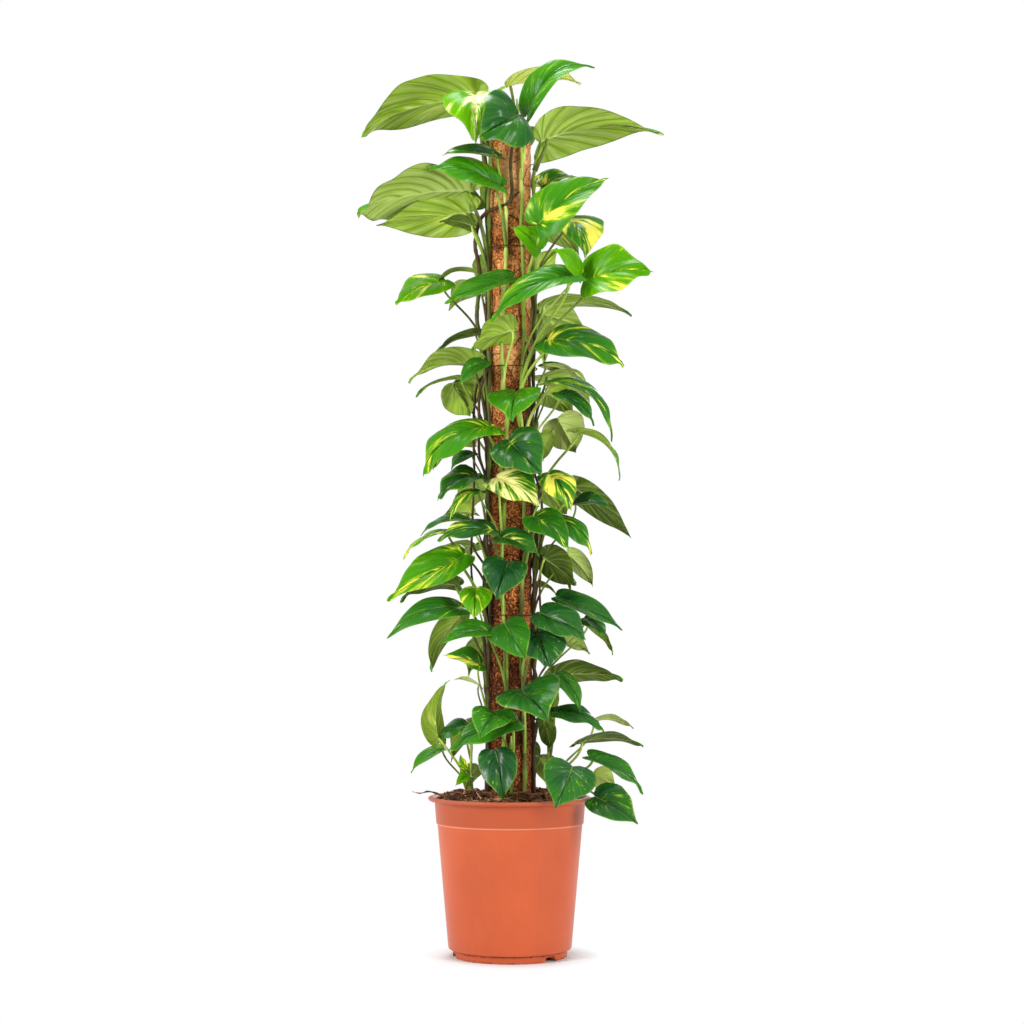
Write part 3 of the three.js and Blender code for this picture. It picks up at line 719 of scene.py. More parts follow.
def makeCoir():
    rng = random.Random(pole["seed"])
    heap = Heap("fibreLook")
    sides = pole["sides"]
    rings = []
    for s in shares(pole["rows"]):
        height = poleBottom + (poleTop - poleBottom) * s
        ring = []
        for k in range(sides):
            turn = 360 * k / sides
            spot = aroundPole(poleRadius, turn, height)
            lump = noise.fractal(spot * 0.09, 1, 2, 4) * pole["rough"]
            tone = 0.5 + 0.5 * noise.noise(spot * 0.3)
            spot = aroundPole(poleRadius + lump - pole["inset"], turn, height)
            ring.append(heap.point(spot, (tone, 0, 0)))
        rings.append(ring)
    for height in (poleTop, poleBottom):
        rings.append(heap.level(coreRadius + seatGap, height, sides, (0.3, 0, 0)))
    heap.loft(rings, True)
    for i in range(pole["strands"]):
        coirStrand(heap, rng)
    heap.piece("coirSleeve", [coirPaint()], "plant", "coir_sleeve")


def coirStrand(heap, rng):
    height = rng.uniform(soilPeak - 4, poleTop - 3)
    bearing = rng.uniform(0, 360)
    long = rng.uniform(*pole["strandLength"])
    slope = rng.gauss(0, pole["slope"])
    bend = rng.uniform(-pole["bend"], pole["bend"])
    lift = pole["lift"] * rng.random() ** 4
    tone = rng.uniform(0.2, 1)
    path = []
    for s in shares(pole["strandSteps"]):
        heading = slope + bend * s
        out = poleRadius + 0.1 + lift * (2 * s - 1) ** 2 + rng.uniform(-0.2, 0.35)
        turn = bearing + math.degrees(math.cos(heading) * long * s / poleRadius)
        rise = math.sin(heading) * long * s
        path.append(aroundPole(out, turn, min(height + rise, poleTop + 1)))
    radius = rng.uniform(*pole["strandRadius"])
    heap.tube(path, [radius] * len(path), 3, lambda s: (tone, 0, 0))


def makeCore():
    paint = Paint("greyTube", Specular_IOR_Level=0.4)
    scratch = paint.cloud(paint.place((6, 6, 1)), 60, 4)
    paint.set("Base Color", paint.mix(pole["coreShade"], pole["core"], (scratch * 1.6 - 0.3).held()))
    paint.set("Roughness", 0.42 + scratch * 0.25)
    paint.bump(paint.cloud(paint.place(), 900, 2) + scratch, 0.05)
    bore = coreRadius - pole["wall"]
    corners = [(bore, poleTop), (bore, poleBottom), (coreRadius, poleBottom), (coreRadius, poleTop)]
    line = rounded([corner + (pole["coreEdge"],) for corner in corners])
    heap = Heap()
    heap.loft([heap.level(radius, height, pole["coreSides"]) for radius, height in line], True)
    heap.piece("coreTube", [paint], "plant", "core_tube")
    print("pole done")


# Ties

ties = {
    "ply": 0.5, "strand": 0.5, "strandSides": 6, "twists": 46, "steps": 420,
    "brown": srgb("5d4726"), "dark": srgb("2e2213"),
}


def tiePaint():
    paint = Paint("gardenTwine", Specular_IOR_Level=0.25)
    hair = paint.cloud(paint.place(), 1500, 4)
    paint.set("Base Color", paint.mix(ties["dark"], ties["brown"], (hair * 1.8 - 0.4).held()))
    paint.set("Roughness", 0.7 + hair * 0.25)
    paint.bump(hair, 0.25)
    return paint


def makeTies():
    paint = tiePaint()
    for n, node in enumerate(tieNodes):
        low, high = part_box(node)
        radius = high.x / mm - (high.z - low.z) / 2 / mm
        heap = Heap()
        for ply in range(2):
            rings = []
            for k in range(ties["steps"]):
                turn = 360 * k / ties["steps"]
                roll = math.radians(turn * ties["twists"]) + math.pi * ply
                rise = ties["ply"] * math.sin(roll)
                centre = aroundPole(radius + ties["ply"] * math.cos(roll), turn, tieHeights[n] + rise)
                out = aroundPole(1, turn, 0)
                rings.append(heap.ring(centre, out, upwards, ties["strand"], ties["strandSides"]))
            heap.loft(rings, True)
        heap.piece("tie" + str(n + 1), [paint], "plant", node)
    print("ties done")


# Vines and shoots

stems = {
    "vines": {
        "diameter": 8, "radius": poleRadius + seatGap + 4, "sway": 5, "swayLength": 330,
        "bearings": {
            "vine_front": -14, "vine_right_front": 32, "vine_right": 77, "vine_right_back": 122,
            "vine_back": 168, "vine_left_back": -147, "vine_left": -104, "vine_left_front": -60,
        },
    },
    "shoots": {
        "diameter": 6, "radius": poleRadius + 27, "sway": 0, "swayLength": 330,
        "bearings": {"shoot_front": 2, "shoot_right": 78, "shoot_back": 178, "shoot_left": -80},
    },
    "eyeDistance": 2900, "eyeAboveLip": 223,   # leaf places are given as seen from here
    "step": 6, "sides": 10, "planted": 9, "topStub": 14, "taper": 30,
    "nodeEvery": 56, "nodeApart": 0.45, "nodeSwell": 1.4, "nodeLength": 4.5,
    "firstNode": 40, "lastNode": 30,           # from the two ends of a stem
    "thin": 0.68,                              # stems are thinner than their solids between nodes
    "drift": 10, "aside": 11, "tieHold": 70,   # how they wander off the pole between the ties
    "stalkRise": 26, "stalkSlope": 0.8, "stalkUp": 0.3,
    "stalkBehind": 0.2, "stalkBelow": 0.16, "stalkIntoBlade": 0.06,
    "stalkThick": 1.5, "stalkGrows": 0.024,    # stalk diameter and its growth with the leaf's length
    "stalkDown": 0.45, "stalkClear": 9,        # stalks run up beside the stem before they bend out
    "stalkSteps": 16, "stalkSides": 9,
    "rootLength": (8, 30), "rootFall": (-0.6, 1.8), "rootRadius": 1.0, "rootSteps": 8, "rootSides": 6,
    "rootsEnd": 20,                            # no roots this close to the top
    "runnerSteps": 7,
    "runners": [             # old bare stems that hang beside the pole: vine, radius, how green, places
        ("vine_left_front", 3.1, 0.2, [
            (-34, 640, 12), (-43, 673, 14), (-49, 702, 14), (-48, 731, 14), (-44, 760, 14), (-47, 789, 14),
            (-52, 815, 14), (-49, 840, 15), (-43, 857, 20), (-32, 868, 28), (-16, 874, 37), (-2, 881, 41),
            (3, 896, 40), (2, 917, 38), (1, 940, 36), (3, 962, 36), (5, 980, 36), (7, 992, 28)]),
        ("vine_left", 2.0, 0.05, [
            (-33, 625, -8), (-50, 602, 2), (-54, 540, 4), (-53, 470, 5), (-56, 396, 4), (-57, 330, 4),
            (-50, 290, 4), (-36, 262, -4)]),
        ("vine_left_front", 2.4, 0.1, [
            (-28, 640, 16), (-44, 600, 18), (-46, 550, 18), (-45, 500, 18), (-34, 468, 12)]),
        ("vine_right_front", 2.2, 0.16, [
            (16, 690, 28), (27, 650, 31), (29, 600, 30), (25, 560, 28), (18, 532, 28)]),
        ("vine_right", 1.9, 0.08, [
            (34, 480, 4), (46, 440, 12), (47, 380, 12), (44, 300, 12), (46, 240, 10), (36, 205, 6)]),
    ],
    "seed": 23,
    "young": {               # how green each stem is
        "vine_front": 0.6, "vine_right_front": 0.48, "vine_left_front": 0.26, "vine_left": 0.05,
        "vine_right": 0.14, "vine_right_back": 0.12, "vine_left_back": 0.14,
    },
    "youngVine": 0.3, "youngShoot": 0.55, "youngStalk": 0.4,     # where the stem isn't listed
    "bark": srgb("3a2b17"), "oldGreen": srgb("5c6b2b"), "stalk": srgb("8fae3c"),
    "freshStalk": srgb("c9d272"), "rootBrown": srgb("4a2e17"),
}


def stemAt(kind, bearing, height):
    climb = (height - soilPeak) / kind["swayLength"] * 2 * math.pi
    turn = bearing + kind["sway"] * math.sin(climb + bearing)
    if not kind["sway"]:
        return aroundPole(kind["radius"], turn, height)
    loose = min(1, min(abs(height - tie) for tie in tieHeights) / stems["tieHold"])
    drift = abs(noise.noise(Vector((bearing, height * 0.014, 1)))) * stems["drift"] * loose
    aside = noise.noise(Vector((bearing, height * 0.012, 7))) * stems["aside"] * loose
    return aroundPole(kind["radius"] + drift, turn + aside, height)


def fromSight(across, up, front):
    nearer = 1 - front / stems["eyeDistance"]
    height = lipTop + stems["eyeAboveLip"] + (up - stems["eyeAboveLip"]) * nearer
    return Vector((across * nearer, -front, height))


def readLeaf(kind, index, base, tip, width, face, arch, look, form=None):
    leaf = SimpleNamespace(width=width, arch=arch, look=look, form=form or {})
    leaf.rng = random.Random(index * 7 + 3)
    leaf.base = fromSight(*base)
    leaf.along = fromSight(*tip) - leaf.base
    leaf.length = leaf.along.length
    leaf.along.normalize()
    up = Vector((face[0], -face[1], face[2]))
    leaf.up = (up - leaf.along * up.dot(leaf.along)).normalized()
    leaf.side = leaf.along.cross(leaf.up)
    bearing = bearingOf(leaf.base)
    bearings = kind["bearings"]
    leaf.stem = min(bearings, key=lambda name: abs((bearing - bearings[name] + 540) % 360 - 180))
    reach = max(0, math.hypot(leaf.base.x, leaf.base.y) - kind["radius"])
    lowest = soilPeak + kind["diameter"]
    leaf.start = max(lowest, leaf.base.z - stems["stalkRise"] - reach * stems["stalkSlope"])
    leaf.root = stemAt(kind, bearings[leaf.stem], leaf.start)
    return leaf


def stemPaint():
    paint = Paint("stemSkin", Specular_IOR_Level=0.2)
    fresh = paint.mark("stemLook")[0]
    where = paint.place()
    stripe = paint.cloud(paint.place((1, 1, 0.04)), 900, 3)
    spots = paint.cloud(where, 300, 4, 0.65)
    stretch = paint.cloud(where, 22, 3)
    colour = paint.ramp((fresh + spots * 0.25 + stretch * 0.9 - 0.58).held(), [
        (0, stems["rootBrown"]), (0.25, stems["bark"]), (0.5, stems["oldGreen"]), (0.78, stems["stalk"]),
        (1, stems["freshStalk"])])
    colour = paint.mix(colour, stems["freshStalk"], stripe.over(0.56, 5) * 0.34 * fresh)
    colour = paint.mix(colour, stems["rootBrown"], spots.over(0.6, 6) * (1 - fresh) * 0.8)
    paint.set("Base Color", colour)
    paint.set("Roughness", 0.42 + spots * 0.25)
    paint.bump(stripe * 0.6 + spots, 0.35)
    return paint


def growStem(heap, kind, name, leaves, rng):
    bearing = kind["bearings"][name]
    bottom = soilAt(kind["radius"]) - stems["planted"]
    nodes = sorted(leaf.start for leaf in leaves)
    top = nodes[-1] + stems["topStub"]
    height = bottom + stems["firstNode"]
    while height < top - stems["lastNode"]:
        if min(abs(height - other) for other in nodes) > stems["nodeEvery"] * stems["nodeApart"]:
            nodes.append(height)
        height += stems["nodeEvery"] * rng.uniform(0.8, 1.2)
    path = []
    radii = []
    for s in shares(round((top - bottom) / stems["step"])):
        height = bottom + (top - bottom) * s
        spot = stemAt(kind, bearing, height)
        kink = noise.noise(Vector((bearing, height * 0.02, 5))) * 0.8
        path.append(spot + outward(spot) * abs(kink))
        swell = max(math.exp(-((height - node) / stems["nodeLength"]) ** 2) for node in nodes)
        taper = min(1, 0.35 + (top - height) / stems["taper"])
        wander = noise.noise(Vector((bearing, height * 0.05, 9)))
        thick = kind["diameter"] / 2 * stems["thin"] * (1 + 0.12 * wander)
        radii.append((thick + stems["nodeSwell"] * swell) * taper)
    young = stems["young"].get(name, stems["youngVine" if kind["sway"] else "youngShoot"])
    heap.tube(path, radii, stems["sides"], lambda s: (young + 0.5 * s ** 2.5, rng.random(), s))
    if kind["sway"]:
        for node in nodes:
            if node < poleTop - stems["rootsEnd"]:
                growRoot(heap, kind, bearing, node, rng)


def growRunner(heap, radius, green, places):
    corners = [fromSight(*place) for place in places]
    count = stems["runnerSteps"] * (len(corners) - 1)
    path = [Vector(splineAt(corners, k / stems["runnerSteps"])) for k in range(count + 1)]
    radii = [radius * (1 - 0.3 * k / count + 0.16 * math.sin(k * 0.9) ** 8) for k in range(count + 1)]
    heap.tube(path, radii, stems["sides"], lambda s: (green + 0.1 * math.sin(9 * s), 0, s))


def growRoot(heap, kind, bearing, height, rng):  # short roots that cling to the coir
    own = bearingOf(stemAt(kind, bearing, height))
    way = rng.choice((-1, 1))
    long = rng.uniform(*stems["rootLength"])
    fall = rng.uniform(*stems["rootFall"])
    steps = shares(stems["rootSteps"])
    path = []
    for s in steps:
        out = kind["radius"] + (poleRadius + 1 - kind["radius"]) * min(1, s * 2.2)
        turn = own + way * math.degrees(long * s / poleRadius)
        wiggle = 2 * math.sin(6 * s + height) * s
        path.append(aroundPole(out + rng.uniform(0, 0.5), turn, height - fall * long * s * s + wiggle))
    radius = stems["rootRadius"] * rng.uniform(0.7, 1.3)
    old = rng.uniform(0.02, 0.3)
    heap.tube(path, [radius * (1 - 0.55 * s) for s in steps], stems["rootSides"], lambda s: (old, 0, s))


def growStalk(heap, kind, leaf):
    end = bladeSpot(leaf, stems["stalkIntoBlade"], 0, 0, 0) - leaf.up * 0.8
    span = (leaf.root - leaf.base).length
    start = max(soilAt(kind["radius"]) + 4, leaf.start - leaf.down * leaf.length)
    root = stemAt(kind, kind["bearings"][leaf.stem], start)
    out = outward(root)
    beside = Vector((-out.y, out.x, 0)) * leaf.rng.choice((-1, 1))
    leaving = root + out * stems["stalkClear"] + beside * leaf.rng.uniform(2, 7)
    leaving.z += (leaf.start - start) + span * stems["stalkUp"]
    arriving = end - leaf.up * span * stems["stalkBehind"]
    arriving.z += leaf.lift - span * stems["stalkBelow"]
    steps = shares(stems["stalkSteps"])
    path = [bezierAt(root, leaving, arriving, end, s) for s in steps]
    thick = (stems["stalkThick"] + stems["stalkGrows"] * leaf.length) / 2
    radii = []
    for s in steps:
        sheath = 0.45 * max(0, 1 - s / 0.3)
        knee = 0.22 * math.exp(-((s - 0.9) / 0.05) ** 2)
        radii.append(thick * (1.05 + sheath + knee - 0.2 * s))
    fresh = leaf.rng.uniform(0.52, 0.94)
    young = stems["young"].get(leaf.stem, stems["youngStalk"])
    low = min(0.9, 0.36 + young)               # stalks are as dark as their stem at the foot
    heap.tube(path, radii, stems["stalkSides"], lambda s: (fresh * (low + (1 - low) * s), 0, s))


# Leaf blades

blade = {
    "edge": [
        (0, 0), (-0.055, 0.08), (-0.09, 0.19), (-0.07, 0.3), (0, 0.4), (0.12, 0.475), (0.27, 0.5),
        (0.42, 0.475), (0.57, 0.4), (0.71, 0.28), (0.83, 0.15), (0.92, 0.058), (1, 0),
    ],                       # along the blade and out from the midrib, as shares of its length and width
    "rib": [0, 0, 0, 0.003, 0.01, 0.02, 0.04, 0.08, 0.135, 0.215, 0.34, 0.56, 1],   # where each vein leaves
    "across": [0.05, 0.14, 0.27, 0.42, 0.58, 0.74, 0.88, 0.97, 1],
    "rowLength": 3.4, "fewestRows": 20, "mostRows": 60, "edgeSteps": 160,
    "veinBend": 1.45, "veins": 9,
    "fold": 0.22, "dome": 0.05, "curl": 0.05, "wave": 0.042, "waves": 2.6, "twist": 0.12, "bow": 0.03,
    "droop": 0.8, "droopFrom": 0.72, "quilt": 0.007,
    "large": 130,            # leaves longer than this are quilted twice as deep
    "ragged": 0.07,          # how uneven the outline is
    "thick": 0.5, "edgeThick": 0.2, "keel": 0.012, "groove": 0.004,
    "deepGreen": srgb("0f431d"), "midGreen": srgb("337c0b"), "freshGreen": srgb("5da002"),
    "lime": srgb("9cc31c"), "gold": srgb("e6de3a"), "cream": srgb("f6f0bb"), "edgePale": srgb("b9d250"),
    "underDark": srgb("455c12"), "under": srgb("85a134"), "underPale": srgb("c5d084"),
    "underLime": srgb("a2c926"), "underSheen": srgb("b4bd8c"), "underGlow": srgb("e6ee70"),
}
leafLooks = {                # depth of green, share of gold, paleness of the gold and of the underside
    "deep": (0.04, 0.05, 0.3, 0.3), "dark": (0.16, 0.14, 0.3, 0.35), "mid": (0.3, 0.18, 0.3, 0.4),
    "leafy": (0.46, 0.22, 0.2, 0.45), "fresh": (0.84, 0.2, 0.2, 0.5), "olive": (0.5, 0.3, 0.2, 0.5),
    "oliveDark": (0.3, 0.1, 0.2, 0.0), "pale": (0.5, 0.3, 0.4, 0.9), "lime": (0.75, 0.44, 0.1, 0.6),
    "limeGlow": (0.86, 0.4, 0.1, 0.9), "gold": (0.36, 0.46, 0.12, 0.6), "cream": (0.2, 0.62, 0.55, 0.7),
    "white": (0.88, 0.52, 1.0, 0.6), "streak": (0.3, 0.37, 0.2, 0.5), "speck": (0.14, 0.24, 0.4, 0.35),
    "freshStreak": (0.74, 0.34, 0.1, 0.55), "brightStreak": (0.56, 0.42, 0.1, 0.5),
    "limeStreak": (0.62, 0.44, 0.1, 0.55), "deepStreak": (0.14, 0.34, 0.3, 0.4),
}

# One row for each leaf, as in the part's source: where its stalk meets the blade, its tip, its width,
# the way its upper face looks, its arch and its look. Places are across, up from the lip and to the front.
vineLeaves = [
    ([-44, 1038, -10], [-226, 986, 20], 95, [0.1, -0.55, 1], 0.16, "lime",
     {"full": 0.45, "bow": 0.0, "arch": 0.1, "droop": 0.6}),
    ([-52, 1044, 34], [-53, 981, 88], 102, [0, 0.7, 0.7], 0.12, "white"),
    ([12, 1014, 70], [-45, 981, 104], 98, [0.35, 0.9, 0.25], 0.1, "dark"),
    ([26, 1016, 28], [124, 1093, 34], 58, [-0.5, 0.8, 0.45], 0.24, "leafy"),
    ([-6, 1056, -45], [106, 1064, -115], 74, [0, -0.2, 1], 0.06, "limeGlow", {"glow": 0.9}),
    ([46, 973, 5], [228, 990, -20], 94, [0, -0.75, 0.65], 0.2, "olive", {"full": -0.7, "down": 0.05}),
    ([-14, 950, 52], [-101, 957, 80], 46, [0, 0.6, 0.8], 0.06, "deepStreak", {"full": 0.8}),
    ([-14, 906, 50], [-121, 935, 82], 72, [0, 0.75, 0.65], 0.1, "leafy"),
    ([-55, 898, 25], [-230, 866, 60], 98, [0.1, -0.5, 0.85], 0.1, "olive",
     {"full": 1.6, "bow": -0.03, "droop": 0.3, "arch": 0.05}),
    ([-58, 866, 10], [-201, 847, 30], 74, [0, -0.9, 0.4], 0.1, "lime", {"full": -0.45}),
    ([-54, 844, 35], [-106, 852, 55], 30, [0, -0.5, 0.8], 0.1, "oliveDark"),
    ([46, 905, -10], [110, 915, -60], 50, [0, 0.5, 0.8], 0.1, "gold"),
    ([42, 848, 62], [148, 920, 62], 80, [-0.2, 0.9, 0.3], 0.1, "brightStreak", {"full": -0.35}),
    ([86, 858, 12], [114, 799, 72], 84, [0.2, 0.6, 0.75], 0.12, "gold"),
    ([46, 810, 42], [4, 846, 56], 50, [0, 0.85, 0.5], 0.08, "fresh"),
    ([112, 763, 80], [214, 777, 115], 84, [0, 0.9, 0.35], 0.1, "freshStreak"),
    ([106, 772, 90], [68, 812, 125], 46, [0.2, 0.8, 0.5], 0.1, "fresh"),
    ([96, 770, 100], [-30, 706, 125], 62, [0, 0.65, 0.75], 0.1, "leafy"),
    ([40, 770, -15], [70, 812, -40], 46, [0, -0.8, 0.4], 0.08, "lime"),
    ([2, 766, 55], [-98, 730, 90], 52, [0, 0.6, 0.8], 0.04, "leafy", {"full": 0.6}),
    ([-98, 763, -12], [-172, 731, 18], 82, [-0.2, 0.6, 0.75], 0.04, "freshStreak"),
    ([-46, 773, -15], [-117, 746, -15], 38, [0, 0, 1], 0.22, "dark"),
    ([42, 722, -20], [180, 722, -75], 68, [0, -0.2, 1], 0.06, "dark"),
    ([44, 714, -40], [114, 690, -90], 58, [0, -0.7, 0.5], 0.08, "olive"),
    ([55, 674, 45], [170, 637, 85], 70, [0.05, 0.75, 0.6], 0.1, "gold", {"full": 0.9, "bow": -0.03}),
    ([8, 688, 60], [-58, 658, 88], 60, [0, -0.6, 0.75], 0.12, "olive"),
    ([-47, 684, 0], [-116, 650, 10], 48, [-0.2, -0.1, 1], 0.08, "dark"),
    ([-48, 638, 5], [-152, 612, 35], 66, [0, -0.3, 1], 0.1, "olive", {"full": 0.8}),
    ([-38, 642, 42], [-76, 608, 68], 36, [-0.2, 0.7, 0.6], 0.08, "mid"),
    ([-68, 615, 0], [-142, 593, 12], 34, [0, 0, 1], 0.08, "dark"),
    ([-84, 610, -15], [-58, 558, 10], 66, [0.2, -0.9, 0.1], 0.06, "olive"),
    ([10, 596, 52], [2, 554, 105], 84, [-0.2, 0.7, 0.7], 0.1, "leafy"),
    ([-28, 544, 52], [-130, 474, 95], 74, [-0.2, 0.6, 0.8], 0.14, "brightStreak",
     {"full": 0.7, "bow": 0.05}),
    ([-2, 524, 70], [46, 474, 110], 76, [-0.1, 0.9, 0.4], 0.06, "speck", {"full": 0.6}),
    ([52, 607, 40], [154, 525, 62], 58, [0.5, 0.45, 0.75], 0.23, "streak"),
    ([72, 593, 60], [127, 549, 88], 40, [0.2, 0.6, 0.8], 0.12, "dark"),
    ([50, 636, -15], [112, 610, -40], 40, [0, -0.1, 1], 0.08, "pale"),
    ([52, 595, -25], [95, 563, -50], 54, [0, -0.6, 0.7], 0.06, "olive"),
    ([70, 557, -35], [98, 504, -30], 68, [0.1, -0.9, 0.1], 0.05, "pale"),
    ([96, 535, 35], [163, 464, 65], 44, [0.5, 0, 0.85], 0.2, "olive"),
    ([45, 533, 15], [50, 492, 30], 40, [0.3, -0.85, 0.2], 0.06, "olive"),
    ([-20, 468, 72], [44, 428, 118], 64, [0, 0.8, 0.6], 0.08, "cream"),
    ([-48, 474, 42], [-108, 436, 75], 62, [-0.2, 0.6, 0.75], 0.12, "deepStreak"),
    ([-52, 518, -10], [-96, 502, -5], 44, [0, -0.2, 1], 0.1, "dark"),
    ([-54, 503, 15], [-88, 482, 35], 38, [-0.2, 0.5, 0.8], 0.1, "dark"),
    ([-44, 448, 58], [-90, 406, 86], 32, [-0.3, 0.6, 0.7], 0.18, "gold"),
    ([-52, 415, -15], [-98, 414, -40], 38, [0, -0.5, 0.8], 0.06, "olive"),
    ([-52, 400, 15], [-133, 387, 35], 44, [0, 0.3, 1], 0.12, "dark"),
    ([-88, 388, 20], [-160, 353, 45], 44, [-0.3, 0.2, 0.9], 0.08, "lime"),
    ([-22, 390, 60], [-108, 377, 92], 50, [0, 0.6, 0.8], 0.1, "deepStreak"),
    ([-14, 380, 68], [44, 353, 105], 48, [0, 0.6, 0.8], 0.08, "deepStreak"),
    ([36, 410, 60], [88, 363, 98], 60, [0.1, 0.75, 0.6], 0.08, "streak"),
    ([52, 408, 35], [123, 360, 68], 54, [0.2, 0.6, 0.8], 0.16, "streak"),
    ([58, 474, 62], [92, 421, 95], 52, [0.2, 0.8, 0.5], 0.08, "gold"),
    ([92, 456, 10], [182, 378, 20], 46, [-0.4, -0.6, 0.6], 0.06, "oliveDark", {"full": -0.3}),
    ([94, 428, 52], [150, 424, 78], 38, [0, 0.6, 0.8], 0.12, "deep"),
    ([48, 350, 20], [101, 310, 45], 60, [-0.3, -0.6, 0.6], 0.06, "oliveDark"),
    ([84, 356, -8], [124, 307, -5], 34, [-0.3, -0.5, 0.7], 0.12, "pale"),
    ([-2, 342, 72], [-20, 288, 108], 70, [0, 0.9, 0.4], 0.06, "deep"),
    ([-68, 352, 30], [-182, 287, 70], 70, [-0.1, 0.7, 0.7], 0.04, "limeStreak", {"bow": -0.03}),
    ([-74, 308, 0], [-164, 289, 18], 50, [0, -0.5, 0.8], 0.12, "oliveDark"),
    ([-68, 276, 40], [-182, 234, 78], 46, [0, 0.7, 0.7], 0.18, "streak", {"full": 0.1}),
    ([-50, 304, 62], [-53, 260, 92], 48, [0, 0.8, 0.6], 0.06, "lime"),
    ([-69, 266, 8], [-119, 182, 28], 50, [-0.55, -0.6, 0.4], 0.1, "olive"),
    ([-60, 250, -5], [-84, 238, 5], 24, [0, 0.3, 0.9], 0.08, "dark"),
    ([-26, 240, 65], [-103, 224, 98], 46, [0, 0.6, 0.8], 0.1, "mid"),
    ([-8, 252, 72], [24, 201, 108], 62, [0, 0.85, 0.5], 0.06, "mid"),
    ([38, 241, 58], [58, 187, 90], 66, [0.2, 0.9, 0.3], 0.06, "deep", {"full": 0.9, "droop": 0.1}),
    ([44, 268, 60], [112, 233, 92], 58, [0.1, 0.8, 0.6], 0.06, "speck", {"full": 0.8}),
    ([70, 291, 20], [167, 245, 42], 46, [0.1, 0.6, 0.8], 0.05, "speck"),
    ([110, 260, 8], [144, 232, 20], 32, [0.2, 0.6, 0.7], 0.1, "dark"),
    ([112, 250, -12], [153, 207, -20], 28, [0.3, -0.3, 0.9], 0.12, "olive"),
    ([74, 231, -30], [118, 210, -55], 30, [0, -0.7, 0.6], 0.06, "pale"),
    ([36, 309, -22], [70, 293, -12], 30, [0, -0.3, 0.9], 0.15, "olive"),
    ([62, 174, 0], [167, 173, 12], 62, [0, -0.55, 0.85], 0.04, "oliveDark"),
    ([66, 178, 42], [106, 123, 78], 42, [0.3, 0.6, 0.7], 0.15, "mid"),
    ([-42, 192, 48], [-97, 206, 78], 42, [0, 0.7, 0.6], 0.08, "gold"),
    ([-44, 160, -25], [-80, 173, -50], 18, [0, -0.5, 0.8], 0.06, "pale"),
    ([18, 153, 72], [55, 114, 132], 102, [0, 0.75, 0.65], 0.06, "dark"),
    ([-2, 990, -48], [4, 930, -135], 88, [0.1, -0.6, 0.8], 0.16, "fresh"),
    ([-8, 905, -52], [-24, 850, -132], 70, [0, -0.75, 0.65], 0.12, "freshStreak"),
    ([35, 850, -48], [105, 800, -125], 88, [0.3, -0.7, 0.65], 0.12, "mid"),
    ([-10, 800, -52], [-40, 740, -132], 80, [-0.25, -0.85, 0.45], 0.06, "gold"),
    ([-34, 752, -48], [-92, 722, -112], 62, [-0.4, -0.6, 0.7], 0.12, "fresh"),
    ([24, 694, -52], [52, 640, -132], 76, [0.3, -0.55, 0.8], 0.16, "streak"),
    ([-14, 640, -52], [-36, 575, -130], 70, [-0.1, -0.75, 0.65], 0.12, "mid"),
    ([50, 620, -50], [120, 560, -110], 70, [0.4, -0.6, 0.7], 0.12, "freshStreak"),
    ([-46, 535, -45], [-116, 488, -105], 58, [-0.4, -0.6, 0.7], 0.12, "dark"),
    ([10, 556, -55], [-6, 484, -122], 80, [-0.1, -0.9, 0.4], 0.06, "streak"),
    ([36, 455, -52], [84, 405, -118], 58, [0.3, -0.7, 0.65], 0.1, "mid"),
    ([-25, 460, -55], [-66, 404, -128], 66, [-0.35, -0.6, 0.75], 0.15, "gold"),
    ([15, 404, -55], [26, 334, -124], 66, [0.25, -0.85, 0.4], 0.05, "dark"),
    ([-50, 370, -45], [-120, 320, -108], 62, [-0.4, -0.6, 0.7], 0.1, "deepStreak"),
    ([40, 355, -52], [92, 305, -112], 54, [0.4, -0.6, 0.7], 0.1, "mid"),
    ([-15, 306, -55], [-34, 252, -132], 62, [-0.2, -0.6, 0.8], 0.17, "streak"),
    ([25, 250, -55], [60, 195, -126], 62, [0.2, -0.75, 0.65], 0.1, "deep"),
    ([-30, 232, -52], [-62, 176, -122], 52, [-0.3, -0.7, 0.65], 0.1, "mid"),
    ([-4, 184, -58], [-2, 112, -124], 58, [0.15, -0.88, 0.4], 0.06, "dark"),
    ([40, 168, -55], [66, 111, -126], 46, [0.3, -0.7, 0.65], 0.1, "streak"),
    ([-40, 108, -55], [-88, 55, -122], 50, [-0.3, -0.7, 0.65], 0.1, "mid"),
]
